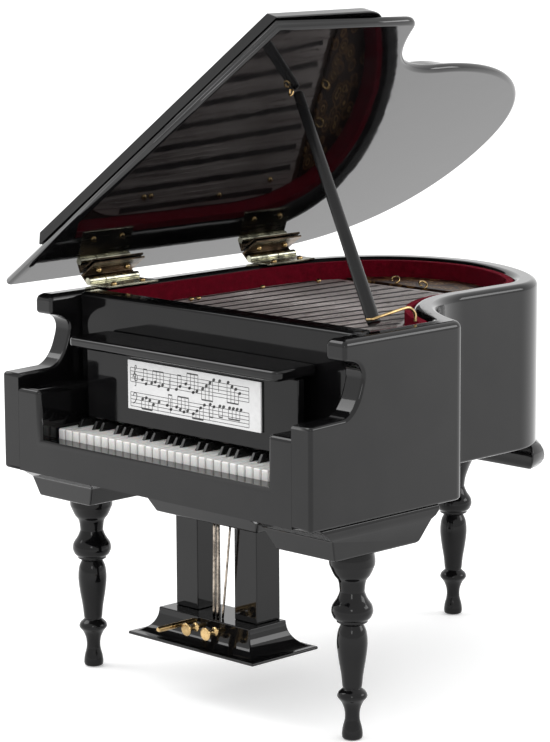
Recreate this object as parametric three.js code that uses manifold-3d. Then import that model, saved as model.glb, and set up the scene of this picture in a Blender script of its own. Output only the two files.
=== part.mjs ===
// Miniature grand piano: black lacquered case on three turned legs, a lid standing open on a prop
// stick, two brass hinges, a moulded keyboard, a music shelf with a card, and a pedal lyre.
// Millimetres, +Z up. The keyboard faces -Y, the tail points to +Y, the hinges are on the -X side.
import * as THREE from 'three';
import { mergeVertices } from 'three/addons/utils/BufferGeometryUtils.js';
import ManifoldModule from 'manifold-3d';

const wasm = await ManifoldModule();
wasm.setup();

// ---- driving dimensions ----
const CASE_WIDTH = 130;
const CASE_BOTTOM = 65;
const CASE_TOP = 116.8;
const RIM_THICK = 7.4;
const RIM_ROUND = 1.4;
const ARM_TOP = 94.8;
const CHEEK_SET_BACK = 13.4;
const CHEEK_LIP = 110.7;
const SCOOP_DEPTH = 20.1;
const TAIL_Y = 160.6;
const TAIL_X = 31.5;
const TAIL_MID_X = -16;

const KEY_COUNT = 30;
const KEY_PITCH = 3.2;
const KEY_FRONT = 7;
const KEY_TOP = 78.3;
const KEY_BOTTOM = 73.8;
const KEY_BACK = 24.2;
const BLACK_KEY_FRONT = 12.5;
const BLACK_KEY_HALF = 0.65;
const BLACK_KEY_TOP = 80.6;
const KEY_BAY = KEY_COUNT * KEY_PITCH + 0.6;

const NAME_BOARD_FRONT = 24.7;
const NAME_BOARD_BACK = 32.5;
const FALLBOARD_HALF = 44.5;
const FALLBOARD_FRONT = 16;
const SHELF_BOTTOM = 103.2;
const SHELF_TOP = 106.4;
const SHELF_FRONT = 8;

const SOUNDBOARD_BOTTOM = 107.2;
const SOUNDBOARD_TOP = 109.8;
const STRING_CARD_TOP = 110.4;
const STRING_CARD_END = 130;
const LINING_THICK = 2.4;
const LINING_TOP = 115.9;

const BLOCK_BOTTOM = 54.5;
const TAIL_BLOCK_BOTTOM = 56.2;
const KEY_LEDGE_TOP = 75.3;
const LEG_X = 55.4;
const FRONT_LEG_Y = 26.2;
const REAR_LEG = { x: -17.8, y: 150.7 };

const LYRE_Y = 30.8;
const LYRE_BASE_BOTTOM = 17.4;
const LYRE_BASE_TOP = 26;
const LYRE_POST_WIDTH = 9.3;
const LYRE_POST_X = 12.5;

const HINGE_AXIS = { x: -64.6, z: 118.1 };
const HINGE_LENGTH = 20.6;
const HINGE_FRONTS = [34.3, 103.4];
const KNUCKLE_SPLITS = [6.6, 12.4];
const KNUCKLE_RADIUS = 1.2;
const PIN_RADIUS = 0.5;
const LEAF_THICK = 0.6;

const LID_OPEN_ANGLE = 35.1;
const LID_STAND_OFF = 3.5;
const LID_THICK = 3;
const PANEL_BEVEL = 2.6;
const PANEL_SLOPE = 2.4;
const LID_FRONT_Y = 7;
const LID_BASS_EDGE = -3.6;
const LID_TREBLE_EDGE = 138.9;
const LID_WAIST = 108.2;
const LID_TAIL = 48;
const LID_TAIL_Y = 169.2;
const PANEL_BASS_EDGE = 15.8;
const PANEL_TREBLE_EDGE = 138.8;
const PANEL_WAIST = 106.2;

const PROP_FOOT = new THREE.Vector3(55.2, 35, 118.9);
const PROP_CONTACT = { along: 103.4, y: 42.8 };
const PROP_BOTTOM_RADIUS = 2;
const PROP_TOP_RADIUS = 1.5;
const FIT_GAP = 0.3;

// ---- finishes ----
const finish = (color, roughness, metalness) => new THREE.MeshStandardMaterial({ color, roughness, metalness });
const lacquer = finish(0x08080a, 0.08, 0);
const velvet = finish(0x7c0f28, 0.95, 0);
const ivory = finish(0xf2f1ec, 0.3, 0);
const ebony = finish(0x0b0b0c, 0.3, 0);
const brass = finish(0xc9a765, 0.28, 1);
const silvered = finish(0xcfc9c0, 0.35, 0.6);
const boardWood = finish(0x3a2418, 0.6, 0);
const gilt = finish(0xb58f55, 0.4, 0.5);
const card = finish(0xf6f6f2, 0.7, 0);

// ---- shape helpers ----
const v2 = (x, y) => new THREE.Vector2(x, y);

function named(name, geometry, material) {
  const mesh = new THREE.Mesh(geometry, material);
  mesh.name = name;
  return mesh;
}

function shapeOf(points) {
  return new THREE.Shape(points);
}

function rectangle(x0, x1, y0, y1) {
  return shapeOf([v2(x0, y0), v2(x1, y0), v2(x1, y1), v2(x0, y1)]);
}

function roundedRectangle(x0, x1, y0, y1, radius) {
  const shape = new THREE.Shape();
  shape.moveTo(x0 + radius, y0);
  shape.lineTo(x1 - radius, y0);
  shape.absarc(x1 - radius, y0 + radius, radius, -Math.PI / 2, 0, false);
  shape.absarc(x1 - radius, y1 - radius, radius, 0, Math.PI / 2, false);
  shape.absarc(x0 + radius, y1 - radius, radius, Math.PI / 2, Math.PI, false);
  shape.absarc(x0 + radius, y0 + radius, radius, Math.PI, Math.PI * 1.5, false);
  return shape;
}

// Extrudes a plan outline from one height to another, with an optional rounded edge.
function extrudeUp(shape, z0, z1, round = 0, bevelSegments = 2) {
  const geometry = new THREE.ExtrudeGeometry(shape, {
    depth: z1 - z0 - 2 * round,
    bevelEnabled: round > 0,
    bevelThickness: round,
    bevelSize: round,
    bevelOffset: -round,
    bevelSegments,
    curveSegments: 6,
  });
  return geometry.translate(0, 0, z0 + round);
}

// A profile drawn as (y, z), extruded along X.
function extrudeAcross(shape, x0, x1, round = 0) {
  const basis = new THREE.Matrix4().makeBasis(
    new THREE.Vector3(0, 1, 0), new THREE.Vector3(0, 0, 1), new THREE.Vector3(1, 0, 0));
  return extrudeUp(shape, x0, x1, round).applyMatrix4(basis);
}

// A profile drawn as (x, z), extruded along Y.
function extrudeBack(shape, y0, y1, round = 0) {
  const basis = new THREE.Matrix4().makeBasis(
    new THREE.Vector3(1, 0, 0), new THREE.Vector3(0, 0, 1), new THREE.Vector3(0, -1, 0));
  return extrudeUp(shape, -y1, -y0, round).applyMatrix4(basis);
}

function box(x0, x1, y0, y1, z0, z1) {
  return new THREE.BoxGeometry(x1 - x0, y1 - y0, z1 - z0)
    .translate((x0 + x1) / 2, (y0 + y1) / 2, (z0 + z1) / 2);
}

// A block whose bottom face is smaller than its top face.
function taperedBlock(top, bottom, z0, z1) {
  const geometry = new THREE.BoxGeometry(1, 1, 1);
  const position = geometry.attributes.position;
  for (let i = 0; i < position.count; i += 1) {
    const face = position.getZ(i) > 0 ? top : bottom;
    position.setX(i, position.getX(i) > 0 ? face.x1 : face.x0);
    position.setY(i, position.getY(i) > 0 ? face.y1 : face.y0);
    position.setZ(i, position.getZ(i) > 0 ? z1 : z0);
  }
  return geometry;
}

function rodAlongY(radius, y0, y1, sides = 12) {
  return new THREE.CylinderGeometry(radius, radius, y1 - y0, sides).translate(0, (y0 + y1) / 2, 0);
}

function rodBetween(start, end, radius, sides = 10) {
  const span = new THREE.Vector3().subVectors(end, start);
  const turn = new THREE.Quaternion().setFromUnitVectors(
    new THREE.Vector3(0, 1, 0), span.clone().normalize());
  const middle = new THREE.Vector3().addVectors(start, end).multiplyScalar(0.5);
  return new THREE.CylinderGeometry(radius, radius, span.length(), sides)
    .applyQuaternion(turn)
    .translate(middle.x, middle.y, middle.z);
}

function turned(profile, sides = 20) {
  const geometry = new THREE.LatheGeometry(profile.map(([r, z]) => v2(r, z)), sides);
  return geometry.rotateX(Math.PI / 2);
}

// Joins rings of equal length, listed anticlockwise from below upwards, and caps both ends.
function loft(rings) {
  const count = rings[0].length;
  const faces = [];
  for (let ring = 0; ring < rings.length - 1; ring += 1) {
    for (let i = 0; i < count; i += 1) {
      const a = ring * count + i;
      const b = ring * count + ((i + 1) % count);
      faces.push(a, b, b + count, a, b + count, a + count);
    }
  }
  const last = (rings.length - 1) * count;
  const cap = (ring) => THREE.ShapeUtils.triangulateShape(ring.map(([x, y]) => v2(x, y)), []);
  for (const [a, b, c] of cap(rings[0])) faces.push(a, c, b);
  for (const [a, b, c] of cap(rings[rings.length - 1])) faces.push(last + a, last + b, last + c);
  const geometry = new THREE.BufferGeometry();
  geometry.setAttribute('position', new THREE.Float32BufferAttribute(rings.flat(2), 3));
  geometry.setIndex(faces);
  return geometry;
}

function solid(geometry) {
  const bare = geometry.clone();
  bare.deleteAttribute('normal');
  bare.deleteAttribute('uv');
  const merged = mergeVertices(bare, 1e-4);
  return new wasm.Manifold(new wasm.Mesh({
    numProp: 3,
    vertProperties: new Float32Array(merged.attributes.position.array),
    triVerts: new Uint32Array(merged.index.array),
  }));
}

function surface(manifold) {
  const mesh = manifold.getMesh();
  const geometry = new THREE.BufferGeometry();
  geometry.setAttribute('position', new THREE.BufferAttribute(new Float32Array(mesh.vertProperties), 3));
  geometry.setIndex(new THREE.BufferAttribute(new Uint32Array(mesh.triVerts), 1));
  return geometry;
}

// ---- plan outline of the case ----
const HALF = CASE_WIDTH / 2;
const BEND_Y = 100;
const WAIST_Y = 100;
const CORNER_Y = 62;
const CORNER_ROUND = 3;

// Runs from the front of the bass side, round the tail, to the back corner of the treble cheek.
function sideCurves() {
  return [
    new THREE.LineCurve(v2(-HALF, 0), v2(-HALF, BEND_Y)),
    new THREE.CubicBezierCurve(v2(-HALF, BEND_Y), v2(-HALF, 132), v2(-52, TAIL_Y), v2(TAIL_MID_X, TAIL_Y)),
    new THREE.CubicBezierCurve(v2(TAIL_MID_X, TAIL_Y), v2(0, TAIL_Y), v2(TAIL_X, 146), v2(TAIL_X, 126)),
    new THREE.LineCurve(v2(TAIL_X, 126), v2(TAIL_X, WAIST_Y)),
    new THREE.CubicBezierCurve(v2(TAIL_X, WAIST_Y), v2(TAIL_X, 84), v2(46, 68.5), v2(HALF, CORNER_Y)),
  ];
}

// The outline moved inwards by inset (outwards where inset is negative), front edge at frontY.
function planOutline(inset, frontY = 0, steps = 14) {
  const limit = HALF - inset;
  const points = [];
  for (const curve of sideCurves()) {
    const count = curve.isLineCurve ? 1 : steps;
    for (let i = 0; i < count; i += 1) {
      const point = curve.getPoint(i / count);
      const along = curve.getTangent(i / count);
      points.push(v2(point.x + along.y * inset, point.y - along.x * inset));
    }
  }
  points[0].y = frontY;
  const kept = points.filter((point) => point.x < limit - CORNER_ROUND);
  const last = sideCurves()[4].getTangent(1);
  const slope = last.y / last.x;
  const cornerY = CORNER_Y - last.x * inset - inset * (1 + last.y) * slope;
  const corner = new THREE.QuadraticBezierCurve(
    v2(limit - CORNER_ROUND, cornerY - CORNER_ROUND * slope), v2(limit, cornerY), v2(limit, cornerY - CORNER_ROUND));
  kept.push(...corner.getPoints(5));
  kept.push(v2(limit, frontY));
  return kept;
}

function bandBetween(outerInset, innerInset, frontY) {
  const outer = planOutline(outerInset, frontY);
  const inner = planOutline(innerInset, frontY);
  return shapeOf([...outer, ...inner.reverse()]);
}

// ---- case ----
// Side profile of the arm: low arm, concave scoop under the cheek lip, then the full height.
function armCut() {
  const lip = v2(CHEEK_SET_BACK, CHEEK_LIP);
  const cove = new THREE.QuadraticBezierCurve(
    lip, v2(SCOOP_DEPTH + 3, CHEEK_LIP - 0.6), v2(SCOOP_DEPTH, (CHEEK_LIP + ARM_TOP) / 2));
  const heel = new THREE.QuadraticBezierCurve(
    v2(SCOOP_DEPTH, (CHEEK_LIP + ARM_TOP) / 2), v2(SCOOP_DEPTH - 2, ARM_TOP + 1.4), v2(CHEEK_SET_BACK, ARM_TOP));
  const edge = [v2(-5, ARM_TOP - 0.6), v2(-5, CASE_TOP + 5), v2(CHEEK_SET_BACK, CASE_TOP + 5)];
  return shapeOf([...edge, ...cove.getPoints(6), ...heel.getPoints(6).slice(1)]);
}

function caseRim() {
  const band = solid(extrudeUp(bandBetween(0, RIM_THICK, 0), CASE_BOTTOM, CASE_TOP, RIM_ROUND));
  const cut = solid(extrudeAcross(armCut(), -HALF - 5, HALF + 5));
  return named('case_rim', surface(band.subtract(cut)), lacquer);
}

function bottomBoard() {
  const outline = planOutline(RIM_THICK + 0.1, 3.6);
  return named('bottom_board', extrudeUp(shapeOf(outline), CASE_BOTTOM + 0.4, CASE_BOTTOM + 3), lacquer);
}

function keybed() {
  const half = HALF - RIM_THICK - 0.1;
  return named('keybed', box(-half, half, 3.6, KEY_BACK + 0.4, CASE_BOTTOM + 3.1, KEY_BOTTOM - 0.1), lacquer);
}

function keyslip() {
  const half = HALF - RIM_THICK - 0.1;
  const bay = KEY_BAY / 2;
  const shape = roundedRectangle(0.1, 3.4, CASE_BOTTOM + 0.2, KEY_LEDGE_TOP, 1);
  const board = extrudeAcross(shape, -bay + 0.1, bay - 0.1);
  const ledge = box(-bay + 0.1, bay - 0.1, 2, KEY_FRONT - 0.3, KEY_BOTTOM, KEY_LEDGE_TOP);
  const apron = box(-half, half, 0.1, 3.4, CASE_BOTTOM + 0.2, KEY_BOTTOM - 0.1);
  return named('keyslip', surface(solid(board).add(solid(ledge)).add(solid(apron))), lacquer);
}

function keyBlock(side) {
  const inner = KEY_BAY / 2;
  const outer = HALF - RIM_THICK - 0.1;
  const shape = roundedRectangle(inner, outer, KEY_BOTTOM, 90.6, 1.6);
  const block = extrudeBack(shape, 0.1, KEY_BACK, 0.8);
  if (side > 0) return named('key_block_right', block, lacquer);
  return named('key_block_left', block.translate(-inner - outer, 0, 0), lacquer);
}

// ---- keyboard ----
const keyboardLeft = (-KEY_COUNT * KEY_PITCH) / 2;
// The lowest key is an A; a black key stands between every pair of naturals except B-C and E-F.
const hasBlackAfter = (key) => ![1, 4].includes(key % 7);

function whiteKeys() {
  const slot = 0.15;
  const points = [v2(keyboardLeft, KEY_BACK)];
  for (let key = 0; key < KEY_COUNT; key += 1) {
    const x0 = keyboardLeft + key * KEY_PITCH;
    const x1 = x0 + KEY_PITCH;
    if (key > 0) points.push(v2(x0 + slot, KEY_BACK - 4));
    points.push(v2(x0 + slot, KEY_FRONT), v2(x1 - slot, KEY_FRONT));
    if (key < KEY_COUNT - 1) points.push(v2(x1 - slot, KEY_BACK - 4));
  }
  points.push(v2(keyboardLeft + KEY_COUNT * KEY_PITCH, KEY_BACK));
  points[0].x += slot;
  points[points.length - 1].x -= slot;
  return named('white_keys', extrudeUp(shapeOf(points), KEY_BOTTOM, KEY_TOP), ivory);
}

function blackKeys() {
  const half = BLACK_KEY_HALF;
  const railFront = KEY_BACK - 3.4;
  const right = -keyboardLeft;
  const points = [];
  for (let key = 0; key < KEY_COUNT - 1; key += 1) {
    if (!hasBlackAfter(key)) continue;
    const x = keyboardLeft + (key + 1) * KEY_PITCH;
    points.push(v2(x - half, railFront), v2(x - half, BLACK_KEY_FRONT));
    points.push(v2(x + half, BLACK_KEY_FRONT), v2(x + half, railFront));
  }
  points.unshift(v2(keyboardLeft + 0.5, railFront));
  points.push(v2(right - 0.5, railFront), v2(right - 0.5, KEY_BACK), v2(keyboardLeft + 0.5, KEY_BACK));
  return named('black_keys', extrudeUp(shapeOf(points), KEY_TOP + 0.02, BLACK_KEY_TOP), ebony);
}

// ---- front boards ----
function nameBoard() {
  const half = HALF - RIM_THICK - 0.1;
  const shape = roundedRectangle(NAME_BOARD_FRONT, NAME_BOARD_BACK, KEY_BOTTOM, CASE_TOP, 1);
  return named('name_board', extrudeAcross(shape, -half, half), lacquer);
}

function fallboard() {
  const geometry = box(-FALLBOARD_HALF, FALLBOARD_HALF, FALLBOARD_FRONT, FALLBOARD_FRONT + 2.6,
    BLACK_KEY_TOP + 0.3, SHELF_BOTTOM - 0.05);
  return named('fallboard', geometry, lacquer);
}

function musicShelf() {
  const half = FALLBOARD_HALF - 0.2;
  const shape = roundedRectangle(-half, half, SHELF_FRONT, NAME_BOARD_FRONT - 0.05, 2.4);
  return named('music_shelf', extrudeUp(shape, SHELF_BOTTOM, SHELF_TOP, 1), lacquer);
}

function sheetMusic() {
  const face = box(-25.5, 30.3, FALLBOARD_FRONT - 0.75, FALLBOARD_FRONT - 0.15, 86.2, 100.8);
  return named('sheet_music', face, card);
}

// ---- inside the case ----
function soundboard() {
  const outline = planOutline(RIM_THICK + LINING_THICK + 0.3, NAME_BOARD_BACK + 0.3);
  return named('soundboard', extrudeUp(shapeOf(outline), SOUNDBOARD_BOTTOM, SOUNDBOARD_TOP), boardWood);
}

function stringCard() {
  const inset = RIM_THICK + LINING_THICK + 0.6;
  const left = -HALF + inset;
  const front = NAME_BOARD_BACK + 2;
  const outline = planOutline(inset, front).filter((point) => point.y < STRING_CARD_END);
  const corner = new THREE.QuadraticBezierCurve(v2(left + 12, front), v2(left, front), v2(left, front + 12));
  const rounded = [...corner.getPoints(5), ...outline.slice(1)];
  return named('string_card', extrudeUp(shapeOf(rounded), SOUNDBOARD_TOP, STRING_CARD_TOP), silvered);
}

function tailPlate() {
  const inset = RIM_THICK + LINING_THICK + 0.6;
  const outline = planOutline(inset).filter((point) => point.y > STRING_CARD_END + 1);
  return named('tail_plate', extrudeUp(shapeOf(outline), SOUNDBOARD_TOP, STRING_CARD_TOP + 0.3), gilt);
}

function velvetLining() {
  const band = bandBetween(RIM_THICK + 0.05, RIM_THICK + LINING_THICK, NAME_BOARD_BACK + 0.2);
  return named('velvet_lining', extrudeUp(band, SOUNDBOARD_BOTTOM, LINING_TOP), velvet);
}

// ---- blocks and legs ----
// A block with a bulged top edge that slopes in to a smaller underside: x0, x1, y0, y1, z per level.
function frontLegBlock(side) {
  const levels = [
    [42, 62, 13.2, 45.4, BLOCK_BOTTOM], [39.5, 62.6, 11.8, 46.3, 55], [36.3, 63.7, 9.8, 50.4, 61],
    [33.3, 64.5, 6.4, 52.7, 63.3], [32.6, 64.3, 4.6, 52.9, CASE_BOTTOM - 0.05],
  ];
  const rings = levels.map(([x0, x1, y0, y1, z]) => {
    const [left, right] = side > 0 ? [x0, x1] : [-x1, -x0];
    return [[left, y0, z], [right, y0, z], [right, y1, z], [left, y1, z]];
  });
  return named(side > 0 ? 'leg_block_right' : 'leg_block_left', loft(rings), lacquer);
}

// A block under the tail that follows the rim's curve: widest a little below its top.
function tailBlock() {
  const base = planOutline(0);
  const onTail = base.map((point, i) => i).filter((i) => base[i].y > 141 && base[i].x < TAIL_X);
  const levels = [[1.6, TAIL_BLOCK_BOTTOM, 3], [-1, 57.4, 0.6], [-2.7, 60, 0], [-1.9, 62.6, 0.3],
    [0.4, CASE_BOTTOM - 0.05, 1]];
  return named('leg_block_tail', loft(levels.map(([inset, z, back]) => {
    const outline = planOutline(inset);
    const ring = onTail.map((i) => [outline[i].x, outline[i].y, z]);
    const left = ring[0][0] - 1.5;
    const right = ring[ring.length - 1][0] + 1;
    return [[left, 136 + back, z], ...ring, [right, 136 + back, z]].reverse();
  })), lacquer);
}

function lyreBlock() {
  const top = { x0: -27.5, x1: 27.5, y0: 17.5, y1: 44 };
  const bottom = { x0: -21.3, x1: 21.3, y0: 22, y1: 39.5 };
  return named('lyre_block', taperedBlock(top, bottom, BLOCK_BOTTOM, CASE_BOTTOM - 0.05), lacquer);
}

// Radius and height stations of a turned leg: foot, ring, long taper, bead and cup.
const legProfile = (top) => [
  [0, 0], [2.5, 0], [3, 1.4], [2.7, 3.4], [2.1, 5.8], [2.3, 8.6], [3.2, 10.8], [4.2, 12.3],
  [3.9, 13.6], [2.7, 14.8], [3, 18], [3.9, 23], [4.4, 27.5], [4, 31.5], [3.2, 33.3], [4.2, 34.2],
  [5.4, 35.6], [5.9, 37.3], [5.3, 39.3], [4, 41], [3.6, 43], [4.1, 46], [5.4, top - 6.6],
  [6.6, top - 3.7], [6.6, top], [0, top],
];

function leg(name, x, y, top) {
  const mesh = named(name, turned(legProfile(top), 18), lacquer);
  mesh.position.set(x, y, 0);
  return mesh;
}

// ---- pedal lyre ----
function lyrePost(side) {
  const half = LYRE_POST_WIDTH / 2;
  const x = side * LYRE_POST_X;
  const post = box(x - half, x + half, LYRE_Y - 4.8, LYRE_Y + 4.8, LYRE_BASE_TOP + 0.05, BLOCK_BOTTOM - 0.05);
  return named(side > 0 ? 'lyre_post_right' : 'lyre_post_left', post, lacquer);
}

function lyreRods() {
  const top = BLOCK_BOTTOM - 0.1;
  const bottom = LYRE_BASE_TOP + 0.1;
  const y = LYRE_Y - 6.6;
  const rods = [
    ['lyre_rod_left', 1.5, 1.0, 0.42],
    ['lyre_rod_middle', 3.1, 2.6, 0.42],
    ['lyre_rod_right', 8.2, 4.7, 0.35],
  ];
  return rods.map(([name, topX, bottomX, radius]) => {
    const start = new THREE.Vector3(bottomX, y, bottom);
    const end = new THREE.Vector3(topX, y, top);
    return named(name, rodBetween(start, end, radius), brass);
  });
}

// The foot of the lyre: four sides that sweep outwards to a thin edge.
function lyreBase() {
  const flare = [[26.6, 13.5, LYRE_BASE_BOTTOM], [26.6, 13.5, 18.2], [23.6, 11.6, 19.6], [21.4, 9.6, 21.6],
    [20, 8.2, 23.8], [19.3, 7.6, LYRE_BASE_TOP]];
  const y = LYRE_Y - 2.4;
  return named('lyre_base', loft(flare.map(([halfX, halfY, z]) => [
    [-halfX, y - halfY, z], [halfX, y - halfY, z], [halfX, y + halfY, z], [-halfX, y + halfY, z],
  ])), lacquer);
}

// Short brass pedals that stand out of the front of the lyre foot.
function pedals() {
  const places = [
    ['pedal_left', -2.4, 4.6, 20.3, 25, 0.85],
    ['pedal_middle', 1.6, 11.9, 20, 24.4, 2],
    ['pedal_right', 9.4, 12.2, 20, 24.4, 2],
  ];
  return places.map(([name, x, y0, y1, z, radius]) => {
    const shank = rodAlongY(0.8, y0 + 1, y1, 10);
    const head = new THREE.SphereGeometry(radius, 12, 8).translate(0, y0 + radius, 0);
    const whole = surface(solid(shank).add(solid(head)));
    return named(name, whole.translate(x, 0, z), brass);
  });
}

// ---- hinges ----
function knuckle(y0, y1) {
  return solid(rodAlongY(KNUCKLE_RADIUS, y0, y1, 16));
}

function hingeLeaf(plate, ownStart, ownEnd, otherStart, otherEnd) {
  const clearance = solid(rodAlongY(KNUCKLE_RADIUS + FIT_GAP, otherStart, otherEnd, 16));
  const bore = solid(rodAlongY(PIN_RADIUS + 0.12, -1, HINGE_LENGTH + 1, 16));
  return surface(solid(plate).add(knuckle(ownStart, ownEnd)).subtract(clearance).subtract(bore));
}

// The lower leaf lies on the rim and reaches inwards from the barrel.
function caseLeaf(split) {
  const low = CASE_TOP - HINGE_AXIS.z + 0.02;
  const plate = extrudeBack(rectangle(-0.5, 9.6, low, low + LEAF_THICK), 0, HINGE_LENGTH);
  return hingeLeaf(plate, split + 0.15, HINGE_LENGTH, -1, split + 0.1);
}

// The upper leaf rises beside the barrel, then lies against the underside of the lid.
function lidLeaf(split) {
  const face = LID_STAND_OFF - FIT_GAP;
  const under = face - LEAF_THICK;
  const profile = shapeOf([v2(-1.15, 0.2), v2(-0.5, 0.6), v2(-1.1, under), v2(6.3, under), v2(6.3, face),
    v2(-1.8, face)]);
  const plate = extrudeBack(profile, 0, HINGE_LENGTH);
  return hingeLeaf(plate, 0, split - 0.15, split - 0.1, HINGE_LENGTH + 1);
}

function nailHead(name, x, y, z, facing) {
  const dome = turned([[0, 0], [1, 0], [0.95, 0.35], [0.6, 0.7], [0, 0.85]], 10);
  if (facing < 0) dome.rotateX(Math.PI);
  return named(name, dome.translate(x, y, z), brass);
}

function hingePieces(place, frontY, split, caseSide, lidSide) {
  const low = CASE_TOP - HINGE_AXIS.z + LEAF_THICK + 0.05;
  const under = LID_STAND_OFF - FIT_GAP - LEAF_THICK - 0.05;
  const onCase = [
    named(`hinge_case_leaf_${place}`, caseLeaf(split), brass),
    named(`hinge_pin_${place}`, rodAlongY(PIN_RADIUS, 0.1, HINGE_LENGTH - 0.1, 10), brass),
  ];
  const onLid = [named(`hinge_lid_leaf_${place}`, lidLeaf(split), brass)];
  for (const [end, y] of [['front', 4.6], ['back', HINGE_LENGTH - 4.2]]) {
    onCase.push(nailHead(`case_nail_${place}_${end}`, 6.8, y, low, 1));
    onLid.push(nailHead(`lid_nail_${place}_${end}`, 1.6, y, under, -1));
  }
  for (const piece of [...onCase, ...onLid]) piece.position.y = frontY;
  caseSide.add(...onCase);
  lidSide.add(...onLid);
}

// ---- lid (drawn closed, with the hinge axis at the origin of X and Z) ----
function lidOutline() {
  const shape = new THREE.Shape();
  shape.moveTo(LID_BASS_EDGE, LID_FRONT_Y);
  shape.lineTo(LID_TREBLE_EDGE, LID_FRONT_Y);
  shape.lineTo(LID_TREBLE_EDGE - 1.8, 60);
  shape.quadraticCurveTo(LID_TREBLE_EDGE - 1.9, 64.4, LID_TREBLE_EDGE - 4.9, 65.5);
  shape.bezierCurveTo(122.5, 69.8, LID_WAIST - 0.6, 78, LID_WAIST, 101);
  shape.bezierCurveTo(LID_WAIST + 0.4, 131, 92, LID_TAIL_Y - 0.4, LID_TAIL, LID_TAIL_Y);
  shape.bezierCurveTo(14, LID_TAIL_Y, LID_BASS_EDGE, 145, LID_BASS_EDGE, 108);
  return shape;
}

function extrudeLidPiece(shape, z0, thickness, lowBevel, highBevel) {
  const geometry = new THREE.ExtrudeGeometry(shape, {
    depth: thickness - lowBevel - highBevel,
    bevelEnabled: true,
    bevelThickness: 1,
    bevelSize: 1,
    bevelOffset: -1,
    bevelSegments: 1,
    curveSegments: 16,
  });
  const position = geometry.attributes.position;
  for (let i = 0; i < position.count; i += 1) {
    const z = position.getZ(i);
    if (z < -0.5) position.setZ(i, -lowBevel);
    if (z > thickness - lowBevel - highBevel + 0.5) position.setZ(i, thickness - lowBevel);
  }
  return geometry.translate(0, 0, z0 + lowBevel);
}

function lidPlate() {
  return named('lid_plate', extrudeLidPiece(lidOutline(), LID_STAND_OFF, LID_THICK, 0.9, 0.9), lacquer);
}

// The raised field on top of the lid, with sloping edges and a square front end.
function lidPanel() {
  const shape = new THREE.Shape();
  shape.moveTo(PANEL_BASS_EDGE, LID_FRONT_Y - 4);
  shape.lineTo(PANEL_TREBLE_EDGE, LID_FRONT_Y - 4);
  shape.lineTo(PANEL_TREBLE_EDGE, 44);
  shape.bezierCurveTo(PANEL_TREBLE_EDGE, 60, PANEL_WAIST + 0.4, 62, PANEL_WAIST, 92);
  shape.lineTo(PANEL_WAIST, 98);
  shape.bezierCurveTo(PANEL_WAIST - 1.8, 126, 82, 148, 50, 148);
  shape.bezierCurveTo(26, 148, PANEL_BASS_EDGE, 128, PANEL_BASS_EDGE, 104);
  const low = LID_STAND_OFF + LID_THICK + FIT_GAP;
  const panel = new THREE.ExtrudeGeometry(shape, {
    depth: 0.4,
    bevelEnabled: true,
    bevelThickness: PANEL_BEVEL,
    bevelSize: PANEL_SLOPE,
    bevelOffset: -PANEL_SLOPE,
    bevelSegments: 1,
    curveSegments: 10,
  });
  const kept = box(0, 200, LID_FRONT_Y + 0.6, 200, low, low + 20);
  const squared = solid(panel.translate(0, 0, low)).intersect(solid(kept));
  return named('lid_panel', surface(squared), lacquer);
}

// A small brass eye in the underside of the lid, beside the prop's top.
function lidEye() {
  const eye = new THREE.TorusGeometry(0.9, 0.3, 8, 14)
    .rotateY(0.4)
    .translate(PROP_CONTACT.along + 1.6, PROP_CONTACT.y - 4.6, LID_STAND_OFF - 1.4);
  return named('lid_eye', eye, brass);
}

// ---- prop stick (drawn upright from its pivot) ----
const openAngle = THREE.MathUtils.degToRad(LID_OPEN_ANGLE);
const contactPoint = new THREE.Vector3(
  HINGE_AXIS.x + PROP_CONTACT.along * Math.cos(openAngle) - LID_STAND_OFF * Math.sin(openAngle),
  PROP_CONTACT.y,
  HINGE_AXIS.z + PROP_CONTACT.along * Math.sin(openAngle) + LID_STAND_OFF * Math.cos(openAngle),
);

function propStick() {
  const span = new THREE.Vector3().subVectors(contactPoint, PROP_FOOT);
  const length = span.length() - 0.6;
  const below = 1.2;
  const stick = new THREE.CylinderGeometry(PROP_TOP_RADIUS, PROP_BOTTOM_RADIUS, length + below, 8)
    .translate(0, (length - below) / 2, 0);
  const mesh = named('prop_stick', stick, lacquer);
  mesh.quaternion.setFromUnitVectors(new THREE.Vector3(0, 1, 0), span.normalize());
  mesh.position.copy(PROP_FOOT);
  return mesh;
}

// Bent brass wire: from beside the prop's foot, back along the rim, and down in a loop to the rim top.
function propWire() {
  const x = 58.1;
  const route = new THREE.CatmullRomCurve3([
    new THREE.Vector3(55.4, 32.1, CASE_TOP + 2.7),
    new THREE.Vector3(57.4, 32.3, CASE_TOP + 2.9),
    new THREE.Vector3(x, 34.2, CASE_TOP + 3.4),
    new THREE.Vector3(x, 39, CASE_TOP + 4),
    new THREE.Vector3(x, 43.1, CASE_TOP + 4.5),
    new THREE.Vector3(x, 46.6, CASE_TOP + 4.6),
    new THREE.Vector3(x, 48.9, CASE_TOP + 2.8),
    new THREE.Vector3(x, 49.2, CASE_TOP + 0.3),
  ]);
  const section = new THREE.Shape();
  section.absarc(0, 0, 0.45, 0, Math.PI * 2, false);
  const wire = new THREE.ExtrudeGeometry(section, { steps: 22, extrudePath: route, curveSegments: 4 });
  return named('prop_wire', wire, brass);
}

// ---- assembly ----
const piano = new THREE.Group();
const body = new THREE.Group();
const lowerHinges = new THREE.Group();
const lid = new THREE.Group();

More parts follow.
